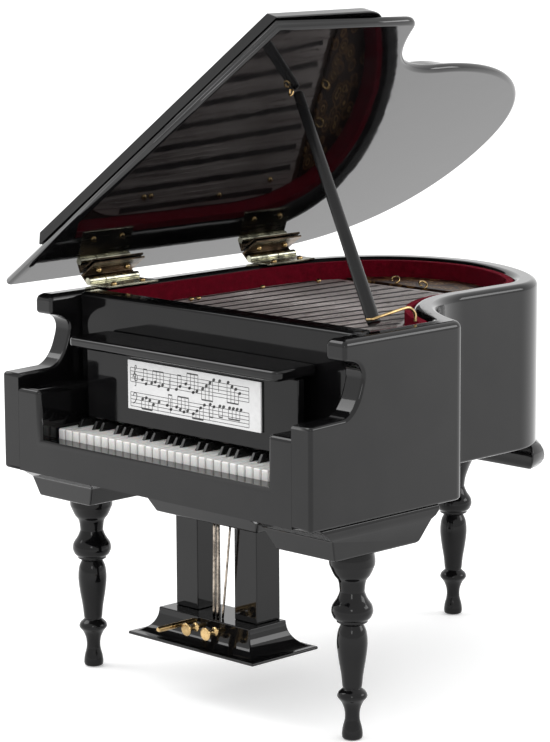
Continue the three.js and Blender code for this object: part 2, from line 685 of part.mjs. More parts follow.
body.add(caseRim(), bottomBoard(), keybed(), keyslip(), keyBlock(-1), keyBlock(1));
body.add(whiteKeys(), blackKeys(), nameBoard(), fallboard(), musicShelf(), sheetMusic());
body.add(soundboard(), stringCard(), tailPlate(), velvetLining());
body.add(frontLegBlock(-1), frontLegBlock(1), tailBlock(), lyreBlock());
body.add(leg('leg_front_left', -LEG_X, FRONT_LEG_Y, BLOCK_BOTTOM - 0.05));
body.add(leg('leg_front_right', LEG_X, FRONT_LEG_Y, BLOCK_BOTTOM - 0.05));
body.add(leg('leg_tail', REAR_LEG.x, REAR_LEG.y, TAIL_BLOCK_BOTTOM - 0.05));
body.add(lyrePost(-1), lyrePost(1), ...lyreRods(), lyreBase(), ...pedals(), propWire());

lowerHinges.position.set(HINGE_AXIS.x, 0, HINGE_AXIS.z);
lid.position.set(HINGE_AXIS.x, 0, HINGE_AXIS.z);
lid.rotation.y = -openAngle;
hingePieces('front', HINGE_FRONTS[0], KNUCKLE_SPLITS[0], lowerHinges, lid);
hingePieces('rear', HINGE_FRONTS[1], KNUCKLE_SPLITS[1], lowerHinges, lid);
lid.add(lidPlate(), lidPanel(), lidEye());

piano.add(body, lowerHinges, lid, propStick());

// The origin is the middle of the whole object's footprint, on the floor.
piano.updateMatrixWorld(true);
const bounds = new THREE.Box3().setFromObject(piano, true);
const centre = bounds.getCenter(new THREE.Vector3());
piano.position.set(-centre.x, -centre.y, -bounds.min.z);
piano.updateMatrixWorld(true);

export default piano;
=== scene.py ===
import math
import random

import bmesh
import bpy
from mathutils import Matrix, Vector


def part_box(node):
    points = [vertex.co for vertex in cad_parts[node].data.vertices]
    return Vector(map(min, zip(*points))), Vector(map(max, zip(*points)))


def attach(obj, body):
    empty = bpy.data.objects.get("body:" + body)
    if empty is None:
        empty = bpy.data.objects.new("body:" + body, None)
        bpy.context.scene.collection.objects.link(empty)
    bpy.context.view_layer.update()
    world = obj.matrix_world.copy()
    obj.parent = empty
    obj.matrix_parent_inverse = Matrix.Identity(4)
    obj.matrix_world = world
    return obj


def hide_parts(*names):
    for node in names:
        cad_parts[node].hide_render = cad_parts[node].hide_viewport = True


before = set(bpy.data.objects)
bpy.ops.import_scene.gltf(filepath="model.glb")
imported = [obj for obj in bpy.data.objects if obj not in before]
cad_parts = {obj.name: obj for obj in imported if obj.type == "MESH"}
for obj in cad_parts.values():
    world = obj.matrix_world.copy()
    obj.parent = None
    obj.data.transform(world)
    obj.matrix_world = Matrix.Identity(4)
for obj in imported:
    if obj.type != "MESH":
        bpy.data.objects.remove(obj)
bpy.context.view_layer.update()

# Miniature grand piano. Lengths in the functions below are millimetres in the case's own frame: X from
# the middle of the case, Y back from the front of the arms, Z up from the floor.
MM = 0.001
rim_low, rim_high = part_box("case_rim")
CASE_ORIGIN = Vector(((rim_low[0] + rim_high[0]) / 2, rim_low[1], 0.0))

HALF = 65.0
CASE_BOTTOM, CASE_TOP = 65.0, 116.8
RIM_THICK = 7.4
ARM_TOP = 94.8
CHEEK_FRONT, CHEEK_LIP, SCOOP_BACK = 13.4, 110.7, 20.1
TAIL_Y, TAIL_X, TAIL_MID_X = 160.6, 31.5, -16.0
LINING = 2.4
CARD_TOP = 110.4
KEY_COUNT, KEY_PITCH, KEY_FRONT, KEY_BACK = 30, 3.2, 7.0, 24.2
KEY_BOTTOM, KEY_TOP, SHARP_TOP = 73.8, 78.3, 80.6
SHARP_FRONT, SHARP_WIDTH = 12.5, 1.3
LEDGE_TOP, KEY_CHEEK_TOP = 75.3, 90.6
SHELF_HALF, SHELF_CORNER = 44.3, 2.4
CARD_END, PLATE_FRONT = 130, 34.5
BOARD_LOW, BOARD_HIGH = 107.2, 109.8
LEG_PLACES = {"left": (-55.4, 26.2, 54.5), "right": (55.4, 26.2, 54.5), "tail": (-17.8, 150.7, 56.2)}
NO_TURN, PLAIN = (0.0, 0.0, 0.0), (1.0, 1.0, 1.0)
LENS = 143.01558
VIEW_AZIMUTH, VIEW_ELEVATION, VIEW_ROLL = 45.29, 9.94, -0.32
VIEW_TARGET, VIEW_DISTANCE = (2.29, 48.75, 96.37), 872.02
HINGE_X, HINGE_Z, HINGE_LENGTH = -64.6, 118.1, 20.6
HINGES = {"front": (34.3, 6.6), "rear": (103.4, 12.4)}
LID_ANGLE = math.radians(35.1)
LID_UNDER, LID_THICK = 3.5, 3.0
SEED = 11


# ---------------------------------------------------------------- materials
class Finish:
    """A node material under construction."""

    def __init__(self, name):
        self.material = bpy.data.materials.new(name)
        self.material.use_nodes = True
        self.tree = self.material.node_tree
        self.shader = self.tree.nodes["Principled BSDF"]
        self.place = self.tree.nodes.new("ShaderNodeTexCoord")

    def node(self, kind, **settings):
        made = self.tree.nodes.new(kind)
        for key, value in settings.items():
            setattr(made, key, value)
        return made

    def link(self, source, target):
        self.tree.links.new(source, target)

    def feed(self, socket, source):
        """Drives one socket of the shader."""
        self.link(source, self.shader.inputs[socket])

    def mapped(self, scale=(1, 1, 1), turn=(0, 0, 0)):
        mapping = self.node("ShaderNodeMapping")
        mapping.inputs["Scale"].default_value = scale
        mapping.inputs["Rotation"].default_value = turn
        self.link(self.place.outputs["Object"], mapping.inputs["Vector"])
        return mapping.outputs["Vector"]

    def noise(self, scale, detail=3.0, roughness=0.5, vector=None):
        made = self.node("ShaderNodeTexNoise")
        made.inputs["Scale"].default_value = scale
        made.inputs["Detail"].default_value = detail
        made.inputs["Roughness"].default_value = roughness
        self.link(vector or self.place.outputs["Object"], made.inputs["Vector"])
        return made.outputs["Fac"]

    def ramp(self, factor, *stops):
        made = self.node("ShaderNodeValToRGB")
        ramp = made.color_ramp
        while len(ramp.elements) < len(stops):
            ramp.elements.new(0.5)
        for element, (position, colour) in zip(ramp.elements, stops):
            element.position = position
            element.color = (*colour, 1) if isinstance(colour, tuple) else (colour, colour, colour, 1)
        self.link(factor, made.inputs["Fac"])
        return made.outputs["Color"]

    def bump(self, height, strength, distance):
        made = self.node("ShaderNodeBump")
        made.inputs["Strength"].default_value = strength
        made.inputs["Distance"].default_value = distance
        self.link(height, made.inputs["Height"])
        self.link(made.outputs["Normal"], self.shader.inputs["Normal"])

    def set(self, **values):
        for key, value in values.items():
            self.shader.inputs[key.replace("_", " ")].default_value = value


def lacquer_finish(name, index, sheen_low, sheen_high):
    """Deep black gloss with the slight waviness of a sprayed coat and a few dust nibs."""
    made = Finish(name)
    made.set(IOR=index)
    tint = made.ramp(made.noise(90, 4), (0.3, (0.0022, 0.0022, 0.0025)), (0.7, (0.0048, 0.0046, 0.0048)))
    made.feed("Base Color", tint)
    smear = made.ramp(made.noise(60, 5), (0.3, sheen_low), (0.75, sheen_high))
    made.feed("Roughness", smear)
    nib = made.node("ShaderNodeTexVoronoi")
    nib.inputs["Scale"].default_value = 420
    made.link(made.place.outputs["Object"], nib.inputs["Vector"])
    speck = made.ramp(nib.outputs["Distance"], (0.0, 1.0), (0.10, 0.0))
    mixed = made.node("ShaderNodeMix", data_type="FLOAT")
    mixed.inputs["Factor"].default_value = 0.12
    made.link(made.noise(110, 2, 0.4), mixed.inputs["A"])
    made.link(speck, mixed.inputs["B"])
    made.bump(mixed.outputs["Result"], 0.16, 0.00012)
    return made.material


def velvet_finish():
    """Crimson flocking: short pile that shows patches where it has been brushed."""
    made = Finish("crimson_flock")
    patches = made.noise(420, 6, 0.8)
    colour = made.ramp(patches, (0.28, (0.055, 0.0006, 0.004)), (0.55, (0.13, 0.0012, 0.009)),
                       (0.8, (0.24, 0.004, 0.020)))
    made.feed("Base Color", colour)
    made.set(Roughness=0.95, Specular_IOR_Level=0.08, Sheen_Weight=0.25, Sheen_Roughness=0.4,
             Sheen_Tint=(0.9, 0.05, 0.12, 1))
    pile = made.noise(3600, 3, 0.7)
    made.bump(pile, 0.9, 0.0005)
    return made.material


def brass_finish(name, colour, roughness=0.22, olive=0.35, patch=420):
    """Thinly plated brass with darker tarnish patches and fine scratches."""
    made = Finish(name)
    dark = tuple(channel * (1 - olive) for channel in colour)
    patches = made.noise(patch, 4, 0.6)
    made.feed("Base Color", made.ramp(patches, (0.40, dark), (0.58, colour)))
    grain = made.noise(900, 3, 0.5, made.mapped((1, 0.06, 1)))
    made.feed("Roughness", made.ramp(grain, (0.3, roughness * 0.7), (0.75, roughness * 1.7)))
    made.set(Metallic=1.0)
    made.bump(grain, 0.12, 0.00008)
    return made.material


def ivory_finish():
    """White key plastic, a little warm where light passes into it."""
    made = Finish("ivory_plastic")
    made.feed("Base Color", made.ramp(made.noise(160, 3), (0.3, (0.64, 0.635, 0.62)),
                                      (0.7, (0.72, 0.715, 0.70))))
    made.feed("Roughness", made.ramp(made.noise(300, 4), (0.3, 0.24), (0.7, 0.38)))
    made.set(Subsurface_Weight=0.12, Subsurface_Scale=0.0008, Specular_IOR_Level=0.5)
    made.bump(made.noise(700, 2), 0.08, 0.0001)
    return made.material


def ebony_finish():
    """Black key plastic with a faint moulded texture."""
    made = Finish("ebony_plastic")
    made.feed("Base Color", made.ramp(made.noise(260, 3), (0.3, 0.003), (0.7, 0.008)))
    made.feed("Roughness", made.ramp(made.noise(500, 3), (0.3, 0.22), (0.7, 0.36)))
    made.bump(made.noise(1500, 2), 0.1, 0.0001)
    return made.material


def card_finish():
    """Smooth white card with a trace of fibre."""
    made = Finish("white_card")
    made.feed("Base Color", made.ramp(made.noise(700, 4), (0.3, 0.66), (0.7, 0.72)))
    made.set(Roughness=0.62, Specular_IOR_Level=0.3)
    made.bump(made.noise(2600, 3), 0.2, 0.00006)
    return made.material


def ink_finish():
    made = Finish("printing_ink")
    made.feed("Base Color", made.ramp(made.noise(900, 3), (0.3, 0.012), (0.7, 0.045)))
    made.set(Roughness=0.55)
    return made.material


def string_card_finish():
    """Silvered card, faintly pink, with streaks that run from front to back."""
    made = Finish("silvered_card")
    streaks = made.noise(520, 4, 0.6, made.mapped((1, 0.03, 1), turn=(0, 0, -0.10)))
    cloudy = made.noise(60, 3)
    both = made.node("ShaderNodeMix", data_type="FLOAT")
    both.inputs["Factor"].default_value = 0.35
    made.link(streaks, both.inputs["A"])
    made.link(cloudy, both.inputs["B"])
    colour = made.ramp(both.outputs["Result"], (0.34, (0.22, 0.18, 0.172)), (0.52, (0.40, 0.35, 0.335)),
                       (0.70, (0.62, 0.57, 0.555)))
    made.feed("Base Color", colour)
    made.set(Metallic=0.15, IOR=1.6)
    made.feed("Roughness", made.ramp(streaks, (0.3, 0.24), (0.7, 0.36)))
    made.bump(streaks, 0.3, 0.0002)
    return made.material


def stained_wood_finish():
    made = Finish("stained_board")
    grain = made.noise(260, 6, 0.62, made.mapped((1, 0.08, 1)))
    made.feed("Base Color", made.ramp(grain, (0.3, (0.018, 0.008, 0.005)), (0.7, (0.075, 0.036, 0.02))))
    made.set(Roughness=0.5)
    made.bump(grain, 0.3, 0.0002)
    return made.material


def gilt_finish():
    """Gold print over brown, in small rings."""
    made = Finish("gilt_print")
    cells = made.node("ShaderNodeTexVoronoi")
    cells.inputs["Scale"].default_value = 190
    made.link(made.mapped((1, 1.5, 1)), cells.inputs["Vector"])
    rings = made.ramp(cells.outputs["Distance"], (0.10, 0.0), (0.22, 1.0), (0.34, 0.1), (0.50, 0.7),
                      (0.62, 0.0))
    colour = made.ramp(rings, (0.15, (0.022, 0.008, 0.004)), (0.55, (0.13, 0.06, 0.018)),
                       (0.9, (0.40, 0.26, 0.10)))
    made.feed("Base Color", colour)
    made.set(Metallic=0.4, Roughness=0.42)
    made.bump(rings, 0.5, 0.0003)
    return made.material


# Near-black paint for the strips between the string bands: painted shade standing in for the shade in the
# gaps between the bands.
def gap_shade_paint_finish():
    made = Finish("painted_gap_shade")
    made.feed("Base Color", made.ramp(made.noise(400, 3), (0.3, (0.006, 0.004, 0.004)),
                                      (0.7, (0.022, 0.014, 0.014))))
    made.set(Roughness=0.6)
    return made.material


def floor_finish():
    made = Finish("studio_floor")
    made.feed("Base Color", made.ramp(made.noise(3, 2), (0.3, 0.90), (0.7, 0.93)))
    made.set(Roughness=0.9, Specular_IOR_Level=0.1, Emission_Color=(1, 1, 1, 1), Emission_Strength=0.25)
    return made.material


LACQUER = lacquer_finish("black_lacquer", 1.37, 0.03, 0.09)
LID_BLACK = lacquer_finish("lid_lacquer", 1.52, 0.02, 0.06)
BOARD_BLACK = lacquer_finish("board_lacquer", 1.30, 0.04, 0.10)
TURNED_BLACK = lacquer_finish("turned_lacquer", 1.31, 0.06, 0.14)
STICK_BLACK = lacquer_finish("stick_lacquer", 1.36, 0.22, 0.36)
VELVET = velvet_finish()
BRASS = brass_finish("gold_brass", (0.62, 0.43, 0.20))
HINGE_METAL = brass_finish("plated_hinge", (0.50, 0.49, 0.38), 0.2, 0.75, 150)
TARNISHED = brass_finish("tarnished_leaf", (0.16, 0.115, 0.075), 0.25, 0.85, 130)
ROD_METAL = brass_finish("pedal_rods", (0.42, 0.36, 0.30), 0.2, 0.6)
IVORY = ivory_finish()
EBONY = ebony_finish()
CARD = card_finish()
INK = ink_finish()
STRING_CARD = string_card_finish()
STAINED = stained_wood_finish()
GILT = gilt_finish()
GAP_SHADE_PAINT = gap_shade_paint_finish()
WIRE = brass_finish("string_wire", (0.55, 0.51, 0.50), 0.3, 0.2)


# ---------------------------------------------------------------- mesh helpers
def in_scene(name, data):
    made = bpy.data.objects.new(name, data)
    bpy.context.scene.collection.objects.link(made)
    return made


def tidy(bm):
    bmesh.ops.remove_doubles(bm, verts=bm.verts, dist=0.0005)
    bmesh.ops.recalc_face_normals(bm, faces=bm.faces)


def solid_object(name, bm, smooth=True):
    """Turns a bmesh in case millimetres into an object whose place is in its mesh."""
    tidy(bm)
    for face in bm.faces:
        face.smooth = smooth
    bmesh.ops.scale(bm, vec=(MM, MM, MM), verts=bm.verts)
    bmesh.ops.translate(bm, vec=CASE_ORIGIN, verts=bm.verts)
    mesh = bpy.data.meshes.new(name)
    bm.to_mesh(mesh)
    bm.free()
    return in_scene(name, mesh)


def applied(made):
    """Bakes the modifiers into the mesh."""
    bpy.context.view_layer.update()
    evaluated = made.evaluated_get(bpy.context.evaluated_depsgraph_get())
    mesh = bpy.data.meshes.new_from_object(evaluated)
    made.modifiers.clear()
    made.data = mesh
    return made


def combined(made, tool, operation):
    """Adds the tool's solid to a piece, or takes it away, and discards the tool."""
    change = made.modifiers.new("combine", "BOOLEAN")
    change.operation, change.solver, change.object = operation, "EXACT", tool
    applied(made)
    bpy.data.objects.remove(tool)


def cleaned(made, distance, degrees):
    """A bmesh of a combined piece without slivers, and its bevel weight layer."""
    bm = bmesh.new()
    bm.from_mesh(made.data)
    bmesh.ops.remove_doubles(bm, verts=bm.verts, dist=distance)
    bmesh.ops.dissolve_limit(bm, angle_limit=math.radians(degrees), verts=bm.verts, edges=bm.edges)
    return bm, bm.edges.layers.float.new("bevel_weight_edge")


def rounded(made, width, segments=4, angle=35, by_weight=False):
    """Rounds the sharp edges, keeping flat faces flat under the gloss."""
    bevel = made.modifiers.new("round", "BEVEL")
    bevel.width = width * MM
    bevel.segments = segments
    bevel.limit_method = "WEIGHT" if by_weight else "ANGLE"
    bevel.angle_limit = math.radians(angle)
    bevel.harden_normals = True
    bevel.miter_outer = "MITER_ARC"
    return applied(made)


def finished(made, material, body="case", replaces=()):
    made.data.materials.clear()
    made.data.materials.append(material)
    for polygon in made.data.polygons:
        polygon.material_index = 0
    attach(made, body)
    if replaces:
        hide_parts(*replaces)
    return made


def prism(bm, outline, low, high, frame_of=None):
    """A closed prism over an outline of (a, b) points from low to high; frame_of places (a, b, c)."""
    place = frame_of or (lambda a, b, c: (a, b, c))
    lower = [bm.verts.new(place(a, b, low)) for a, b in outline]
    upper = [bm.verts.new(place(a, b, high)) for a, b in outline]
    bm.faces.new(lower[::-1])
    bm.faces.new(upper)
    count = len(outline)
    for i in range(count):
        j = (i + 1) % count
        bm.faces.new((lower[i], lower[j], upper[j], upper[i]))


def across(a, b, c):
    """Outline in (y, z), depth along x."""
    return (c, a, b)


def backwards(a, b, c):
    """Outline in (x, z), depth along y."""
    return (a, c, b)


def block(bm, x0, x1, y0, y1, z0, z1):
    prism(bm, [(x0, y0), (x1, y0), (x1, y1), (x0, y1)], z0, z1)


def loft(bm, rings):
    """A closed skin over rings of points, listed anticlockwise from the first end to the last."""
    made = [[bm.verts.new(point) for point in ring] for ring in rings]
    count = len(rings[0])
    for lower, upper in zip(made, made[1:]):
        for i in range(count):
            j = (i + 1) % count
            bm.faces.new((lower[i], lower[j], upper[j], upper[i]))
    bm.faces.new(made[0][::-1])
    bm.faces.new(made[-1])


def lathe(bm, profile, centre, axis="z", sides=48):
    """Turns (radius, height) stations about an axis through centre."""
    rings = []
    for radius, height in profile:
        ring = []
        for i in range(sides):
            turn = 2 * math.pi * i / sides
            a, b = radius * math.cos(turn), radius * math.sin(turn)
            if axis == "z":
                ring.append((centre[0] + a, centre[1] + b, centre[2] + height))
            else:
                ring.append((centre[0] + a, centre[1] + height, centre[2] + b))
        rings.append(ring)
    loft(bm, rings)


def tube(bm, points, radius, sides=14, taper=None):
    """A round rod along points; taper gives each point its own radius."""
    path = [Vector(point) for point in points]
    reference = Vector((0.13, 0.21, 0.97))
    rings = []
    for i, point in enumerate(path):
        ahead = path[min(i + 1, len(path) - 1)] - path[max(i - 1, 0)]
        ahead.normalize()
        side = ahead.cross(reference).normalized()
        reference = side.cross(ahead).normalized()
        size = taper[i] if taper else radius
        rings.append([point + side * size * math.cos(t) + reference * size * math.sin(t)
                      for t in (2 * math.pi * k / sides for k in range(sides))])
    loft(bm, rings)


def spline(points, steps=8):
    """A smooth curve through the points."""
    path = [Vector(point) for point in points]
    ends = [path[0] * 2 - path[1]] + path + [path[-1] * 2 - path[-2]]
    made = []
    for i in range(1, len(ends) - 2):
        a, b, c, d = ends[i - 1:i + 3]
        for k in range(steps):
            t = k / steps
            made.append(0.5 * ((2 * b) + (c - a) * t + (2 * a - 5 * b + 4 * c - d) * t ** 2
                               + (3 * b - a - 3 * c + d) * t ** 3))
    made.append(path[-1])
    return made


def bezier(a, b, c, d, steps):
    """Points of a cubic curve, without its last one."""
    made = []
    for i in range(steps):
        t = i / steps
        u = 1 - t
        made.append(tuple(u ** 3 * a[k] + 3 * u * u * t * b[k] + 3 * u * t * t * c[k] + t ** 3 * d[k]
                          for k in (0, 1)))
    return made


def swept(a, b, c, fractions):
    """Points of a quadratic curve at the given fractions of its length."""
    return [tuple((1 - t) ** 2 * a[k] + 2 * t * (1 - t) * b[k] + t * t * c[k] for k in (0, 1))
            for t in fractions]


# ---------------------------------------------------------------- plan outline of the case
def side_path(steps=40):
    """Plan curve from the front of the bass side, round the tail, to the treble cheek."""
    path = [(-HALF, 0.0), (-HALF, 60.0)]
    path += bezier((-HALF, 100), (-HALF, 132), (-52, TAIL_Y), (TAIL_MID_X, TAIL_Y), steps)
    path += bezier((TAIL_MID_X, TAIL_Y), (0, TAIL_Y), (TAIL_X, 146), (TAIL_X, 126), steps)
    path += bezier((TAIL_X, 126), (TAIL_X, 118), (TAIL_X, 108), (TAIL_X, 100), 6)
    path += bezier((TAIL_X, 100), (TAIL_X, 84), (46, 68.5), (HALF, 62), steps)
    path.append((HALF, 62.0))
    return path


def plan_outline(inset, front=0.0, corner=3.0, steps=40):
    """The case outline moved inwards by inset, with its front edge at front."""
    path = side_path(steps)
    moved = []
    for i, (x, y) in enumerate(path):
        ahead = path[min(i + 1, len(path) - 1)]
        behind = path[max(i - 1, 0)]
        dx, dy = ahead[0] - behind[0], ahead[1] - behind[1]
        length = math.hypot(dx, dy)
        moved.append((x + dy / length * inset, y - dx / length * inset))
    moved[0] = (moved[0][0], front)
    limit = HALF - inset
    (xa, ya), (xb, yb) = moved[-2], moved[-1]
    slope = (yb - ya) / (xb - xa)
    corner_y = yb + (limit - xb) * slope
    kept = [point for point in moved if point[0] < limit - corner]
    start, end = (limit - corner, corner_y - corner * slope), (limit, corner_y - corner)
    kept += swept(start, (limit, corner_y), end, [i / 8 for i in range(9)])
    kept.append((limit, front))
    return kept


# ---------------------------------------------------------------- case
def arm_cut_profile():
    """The side profile removed above the low arm, with a concave scoop below the cheek's lip."""
    points = [(-6, ARM_TOP - 0.5), (-6, CASE_TOP + 8), (CHEEK_FRONT, CASE_TOP + 8), (CHEEK_FRONT, CHEEK_LIP)]
    deepest = (SCOOP_BACK, (CHEEK_LIP + ARM_TOP) / 2)
    fractions = [i / 10 for i in range(1, 11)]
    points += swept((CHEEK_FRONT, CHEEK_LIP), (SCOOP_BACK + 3, CHEEK_LIP - 0.6), deepest, fractions)
    points += swept(deepest, (SCOOP_BACK - 2, ARM_TOP + 1.4), (CHEEK_FRONT, ARM_TOP), fractions)
    return points


def case_rim():
    bm = bmesh.new()
    prism(bm, plan_outline(0) + plan_outline(RIM_THICK)[::-1], CASE_BOTTOM, CASE_TOP)
    rim = solid_object("bent_rim", bm)
    bm = bmesh.new()
    prism(bm, arm_cut_profile(), -HALF - 8, HALF + 8, across)
    cutter = solid_object("arm_cutter", bm)
    combined(rim, cutter, "DIFFERENCE")
    bm, weight = cleaned(rim, 0.00001, 0.4)
    for edge in bm.edges:
        if len(edge.link_faces) != 2 or edge.calc_face_angle(0) < math.radians(32):
            continue
        ends = [(vert.co - CASE_ORIGIN) / MM for vert in edge.verts]
        beside_surround = all(end.y < 0.1 and abs(end.x) < HALF - RIM_THICK + 0.1 for end in ends)
        on_top = min(end.z for end in ends) > CASE_TOP - 0.3
        edge[weight] = 1.0 if on_top else 0.0 if beside_surround else 0.5
        edge.smooth = not beside_surround
    for face in bm.faces:
        face.smooth = True
    bm.to_mesh(rim.data)
    bm.free()
    rounded(rim, 2.2, 6, by_weight=True)
    finished(rim, LACQUER, replaces=["case_rim"])


def board(name, node, x0, x1, y0, y1, z0, z1, width, segments=4, material=LACQUER):
    bm = bmesh.new()
    block(bm, x0, x1, y0, y1, z0, z1)
    finished(rounded(solid_object(name, bm), width, segments), material, replaces=[node])


def case_boards():
    inner = HALF - RIM_THICK - 0.1
    bm = bmesh.new()
    prism(bm, plan_outline(RIM_THICK + 0.1, 3.6, steps=24), CASE_BOTTOM + 0.4, CASE_BOTTOM + 3)
    finished(rounded(solid_object("underside_board", bm), 0.3, 2), LACQUER, replaces=["bottom_board"])
    board("key_bed", "keybed", -inner, inner, 3.6, KEY_BACK + 0.4, CASE_BOTTOM + 3.1, KEY_BOTTOM - 0.1,
          0.2, 2)
    board("name_rail", "name_board", -inner, inner, 24.7, 32.5, KEY_BOTTOM, CASE_TOP, 1.3,
          material=BOARD_BLACK)
    board("fall_board", "fallboard", -44.5, 44.5, 16, 18.6, SHARP_TOP + 0.3, 103.15, 0.5, 3, BOARD_BLACK)


def front_surround():
    """The slip, its ledge in front of the keys and the two cheek blocks, as one lacquered surface."""
    bay = KEY_COUNT * KEY_PITCH / 2 + 0.3
    outer, low, ledge, top = HALF - RIM_THICK + 0.05, 65.2, LEDGE_TOP, KEY_CHEEK_TOP
    bm = bmesh.new()
    prism(bm, [(-outer, low), (outer, low), (outer, top), (bay, top), (bay, ledge), (-bay, ledge),
               (-bay, top), (-outer, top)], 0.0, 6.7, backwards)
    surround = solid_object("front_surround", bm)
    for side in (-1, 1):
        x0, x1 = sorted((side * bay, side * outer))
        bm = bmesh.new()
        block(bm, x0, x1, 3.0, KEY_BACK, KEY_BOTTOM, top)
        combined(surround, solid_object("cheek", bm), "UNION")
    bm, weight = cleaned(surround, 0.000005, 0.5)
    for edge in bm.edges:
        ends = [(vert.co - CASE_ORIGIN) / MM for vert in edge.verts]
        at_front = all(end.y < 0.1 for end in ends)
        on_top = all(end.z > top - 0.1 for end in ends)
        lowest = all(end.z < low + 0.1 for end in ends)
        at_side = all(abs(end.x) > outer - 0.1 for end in ends) and abs(ends[0].x - ends[1].x) < 0.1
        if edge.calc_face_angle(0) < 0.5:
            continue
        if (at_front or on_top) and not lowest and not at_side:
            edge[weight] = 1.0
        else:
            edge.smooth = False
    for face in bm.faces:
        face.smooth = True
    bm.to_mesh(surround.data)
    bm.free()
    finished(rounded(surround, 1.5, 6, by_weight=True), LACQUER,
             replaces=["keyslip", "key_block_left", "key_block_right"])


def music_shelf():
    outline = []
    side, front, back = SHELF_HALF - SHELF_CORNER, 10.4, 22.25
    for cx, cy, start in ((side, front, -90), (side, back, 0), (-side, back, 90), (-side, front, 180)):
        for i in range(7):
            turn = math.radians(start + i * 15)
            outline.append((cx + SHELF_CORNER * math.cos(turn), cy + SHELF_CORNER * math.sin(turn)))
    bm = bmesh.new()
    prism(bm, outline, 103.2, 106.4)
    finished(rounded(solid_object("desk_shelf", bm), 1.2, 6, 40), LACQUER, replaces=["music_shelf"])


# ---------------------------------------------------------------- geometry nodes
def node_tree(name, *inputs):
    tree = bpy.data.node_groups.new(name, "GeometryNodeTree")
    tree.interface.new_socket("Geometry", in_out="INPUT", socket_type="NodeSocketGeometry")
    for label, kind in inputs:
        tree.interface.new_socket(label, in_out="INPUT", socket_type=f"NodeSocket{kind}")
    tree.interface.new_socket("Geometry", in_out="OUTPUT", socket_type="NodeSocketGeometry")
    return tree, tree.nodes.new("NodeGroupInput"), tree.nodes.new("NodeGroupOutput")


def stamp_tree():
    """Sets a shape at every point of a plan mesh: each point carries its own turn and stretch."""
    tree, given, made = node_tree("stamp_at_points", ("Shape", "Object"), ("Overall Size", "Float"),
                                  ("Finish", "Material"))
    nodes, links = tree.nodes, tree.links
    points = nodes.new("GeometryNodeMeshToPoints")
    shape = nodes.new("GeometryNodeObjectInfo")
    turn = nodes.new("GeometryNodeInputNamedAttribute")
    stretch = nodes.new("GeometryNodeInputNamedAttribute")
    turn.data_type = stretch.data_type = "FLOAT_VECTOR"
    turn.inputs["Name"].default_value = "turn"
    stretch.inputs["Name"].default_value = "stretch"
    resized = nodes.new("ShaderNodeVectorMath")
    resized.operation = "SCALE"
    stamps = nodes.new("GeometryNodeInstanceOnPoints")
    real = nodes.new("GeometryNodeRealizeInstances")
    painted = nodes.new("GeometryNodeSetMaterial")
    links.new(given.outputs["Geometry"], points.inputs["Mesh"])
    links.new(given.outputs["Shape"], shape.inputs["Object"])
    links.new(stretch.outputs[0], resized.inputs[0])
    links.new(given.outputs["Overall Size"], resized.inputs["Scale"])
    links.new(points.outputs["Points"], stamps.inputs["Points"])
    links.new(shape.outputs["Geometry"], stamps.inputs["Instance"])
    links.new(turn.outputs[0], stamps.inputs["Rotation"])
    links.new(resized.outputs[0], stamps.inputs["Scale"])
    links.new(stamps.outputs["Instances"], real.inputs["Geometry"])
    links.new(real.outputs["Geometry"], painted.inputs["Geometry"])
    links.new(given.outputs["Finish"], painted.inputs["Material"])
    links.new(painted.outputs["Geometry"], made.inputs["Geometry"])
    return tree


STAMP = stamp_tree()


def shape_of(name, bm, smooth=True):
    """A hidden master shape in metres about its own origin, for stamping."""
    tidy(bm)
    for face in bm.faces:
        face.smooth = smooth
    bmesh.ops.scale(bm, vec=(MM, MM, MM), verts=bm.verts)
    mesh = bpy.data.meshes.new(name)
    bm.to_mesh(mesh)
    bm.free()
    return in_scene(name, mesh)


def stamped(name, master, places, material):
    """places: (position, turn, stretch) in case millimetres, radians and factors."""
    mesh = bpy.data.meshes.new(name)
    mesh.from_pydata([CASE_ORIGIN + Vector(position) * MM for position, _, _ in places], [], [])
    turns = mesh.attributes.new("turn", "FLOAT_VECTOR", "POINT")
    sizes = mesh.attributes.new("stretch", "FLOAT_VECTOR", "POINT")
    for i, (_, turn, stretch) in enumerate(places):
        turns.data[i].vector = turn
        sizes.data[i].vector = stretch
    made = in_scene(name, mesh)
    modifier = made.modifiers.new("stamps", "NODES")
    modifier.node_group = STAMP
    values = {"Shape": master, "Overall Size": 1.0, "Finish": material}
    for item in STAMP.interface.items_tree:
        if item.in_out == "INPUT" and item.name in values:
            modifier[item.identifier] = values[item.name]
    applied(made)
    bpy.data.objects.remove(master)
    return made


def stamped_piece(name, master, places, material, body="case", replaces=()):
    return finished(stamped(name, master, places, material), material, body, replaces)


# ---------------------------------------------------------------- keyboard
def key_shape(name, width, length, height, front_drop=0.0, top_taper=0.0, width_round=0.35):
    """One key about the middle of its front bottom edge."""
    half = width / 2
    bm = bmesh.new()
    lower = [(-half, 0, 0), (half, 0, 0), (half, length, 0), (-half, length, 0)]
    upper = [(-half + top_taper, front_drop, height), (half - top_taper, front_drop, height),
             (half - top_taper, length, height), (-half + top_taper, length, height)]
    loft(bm, [lower, upper])
    made = shape_of(name, bm)
    bevel = made.modifiers.new("round", "BEVEL")
    bevel.width = width_round * MM
    bevel.segments = 3
    bevel.limit_method = "ANGLE"
    bevel.harden_normals = True
    return applied(made)


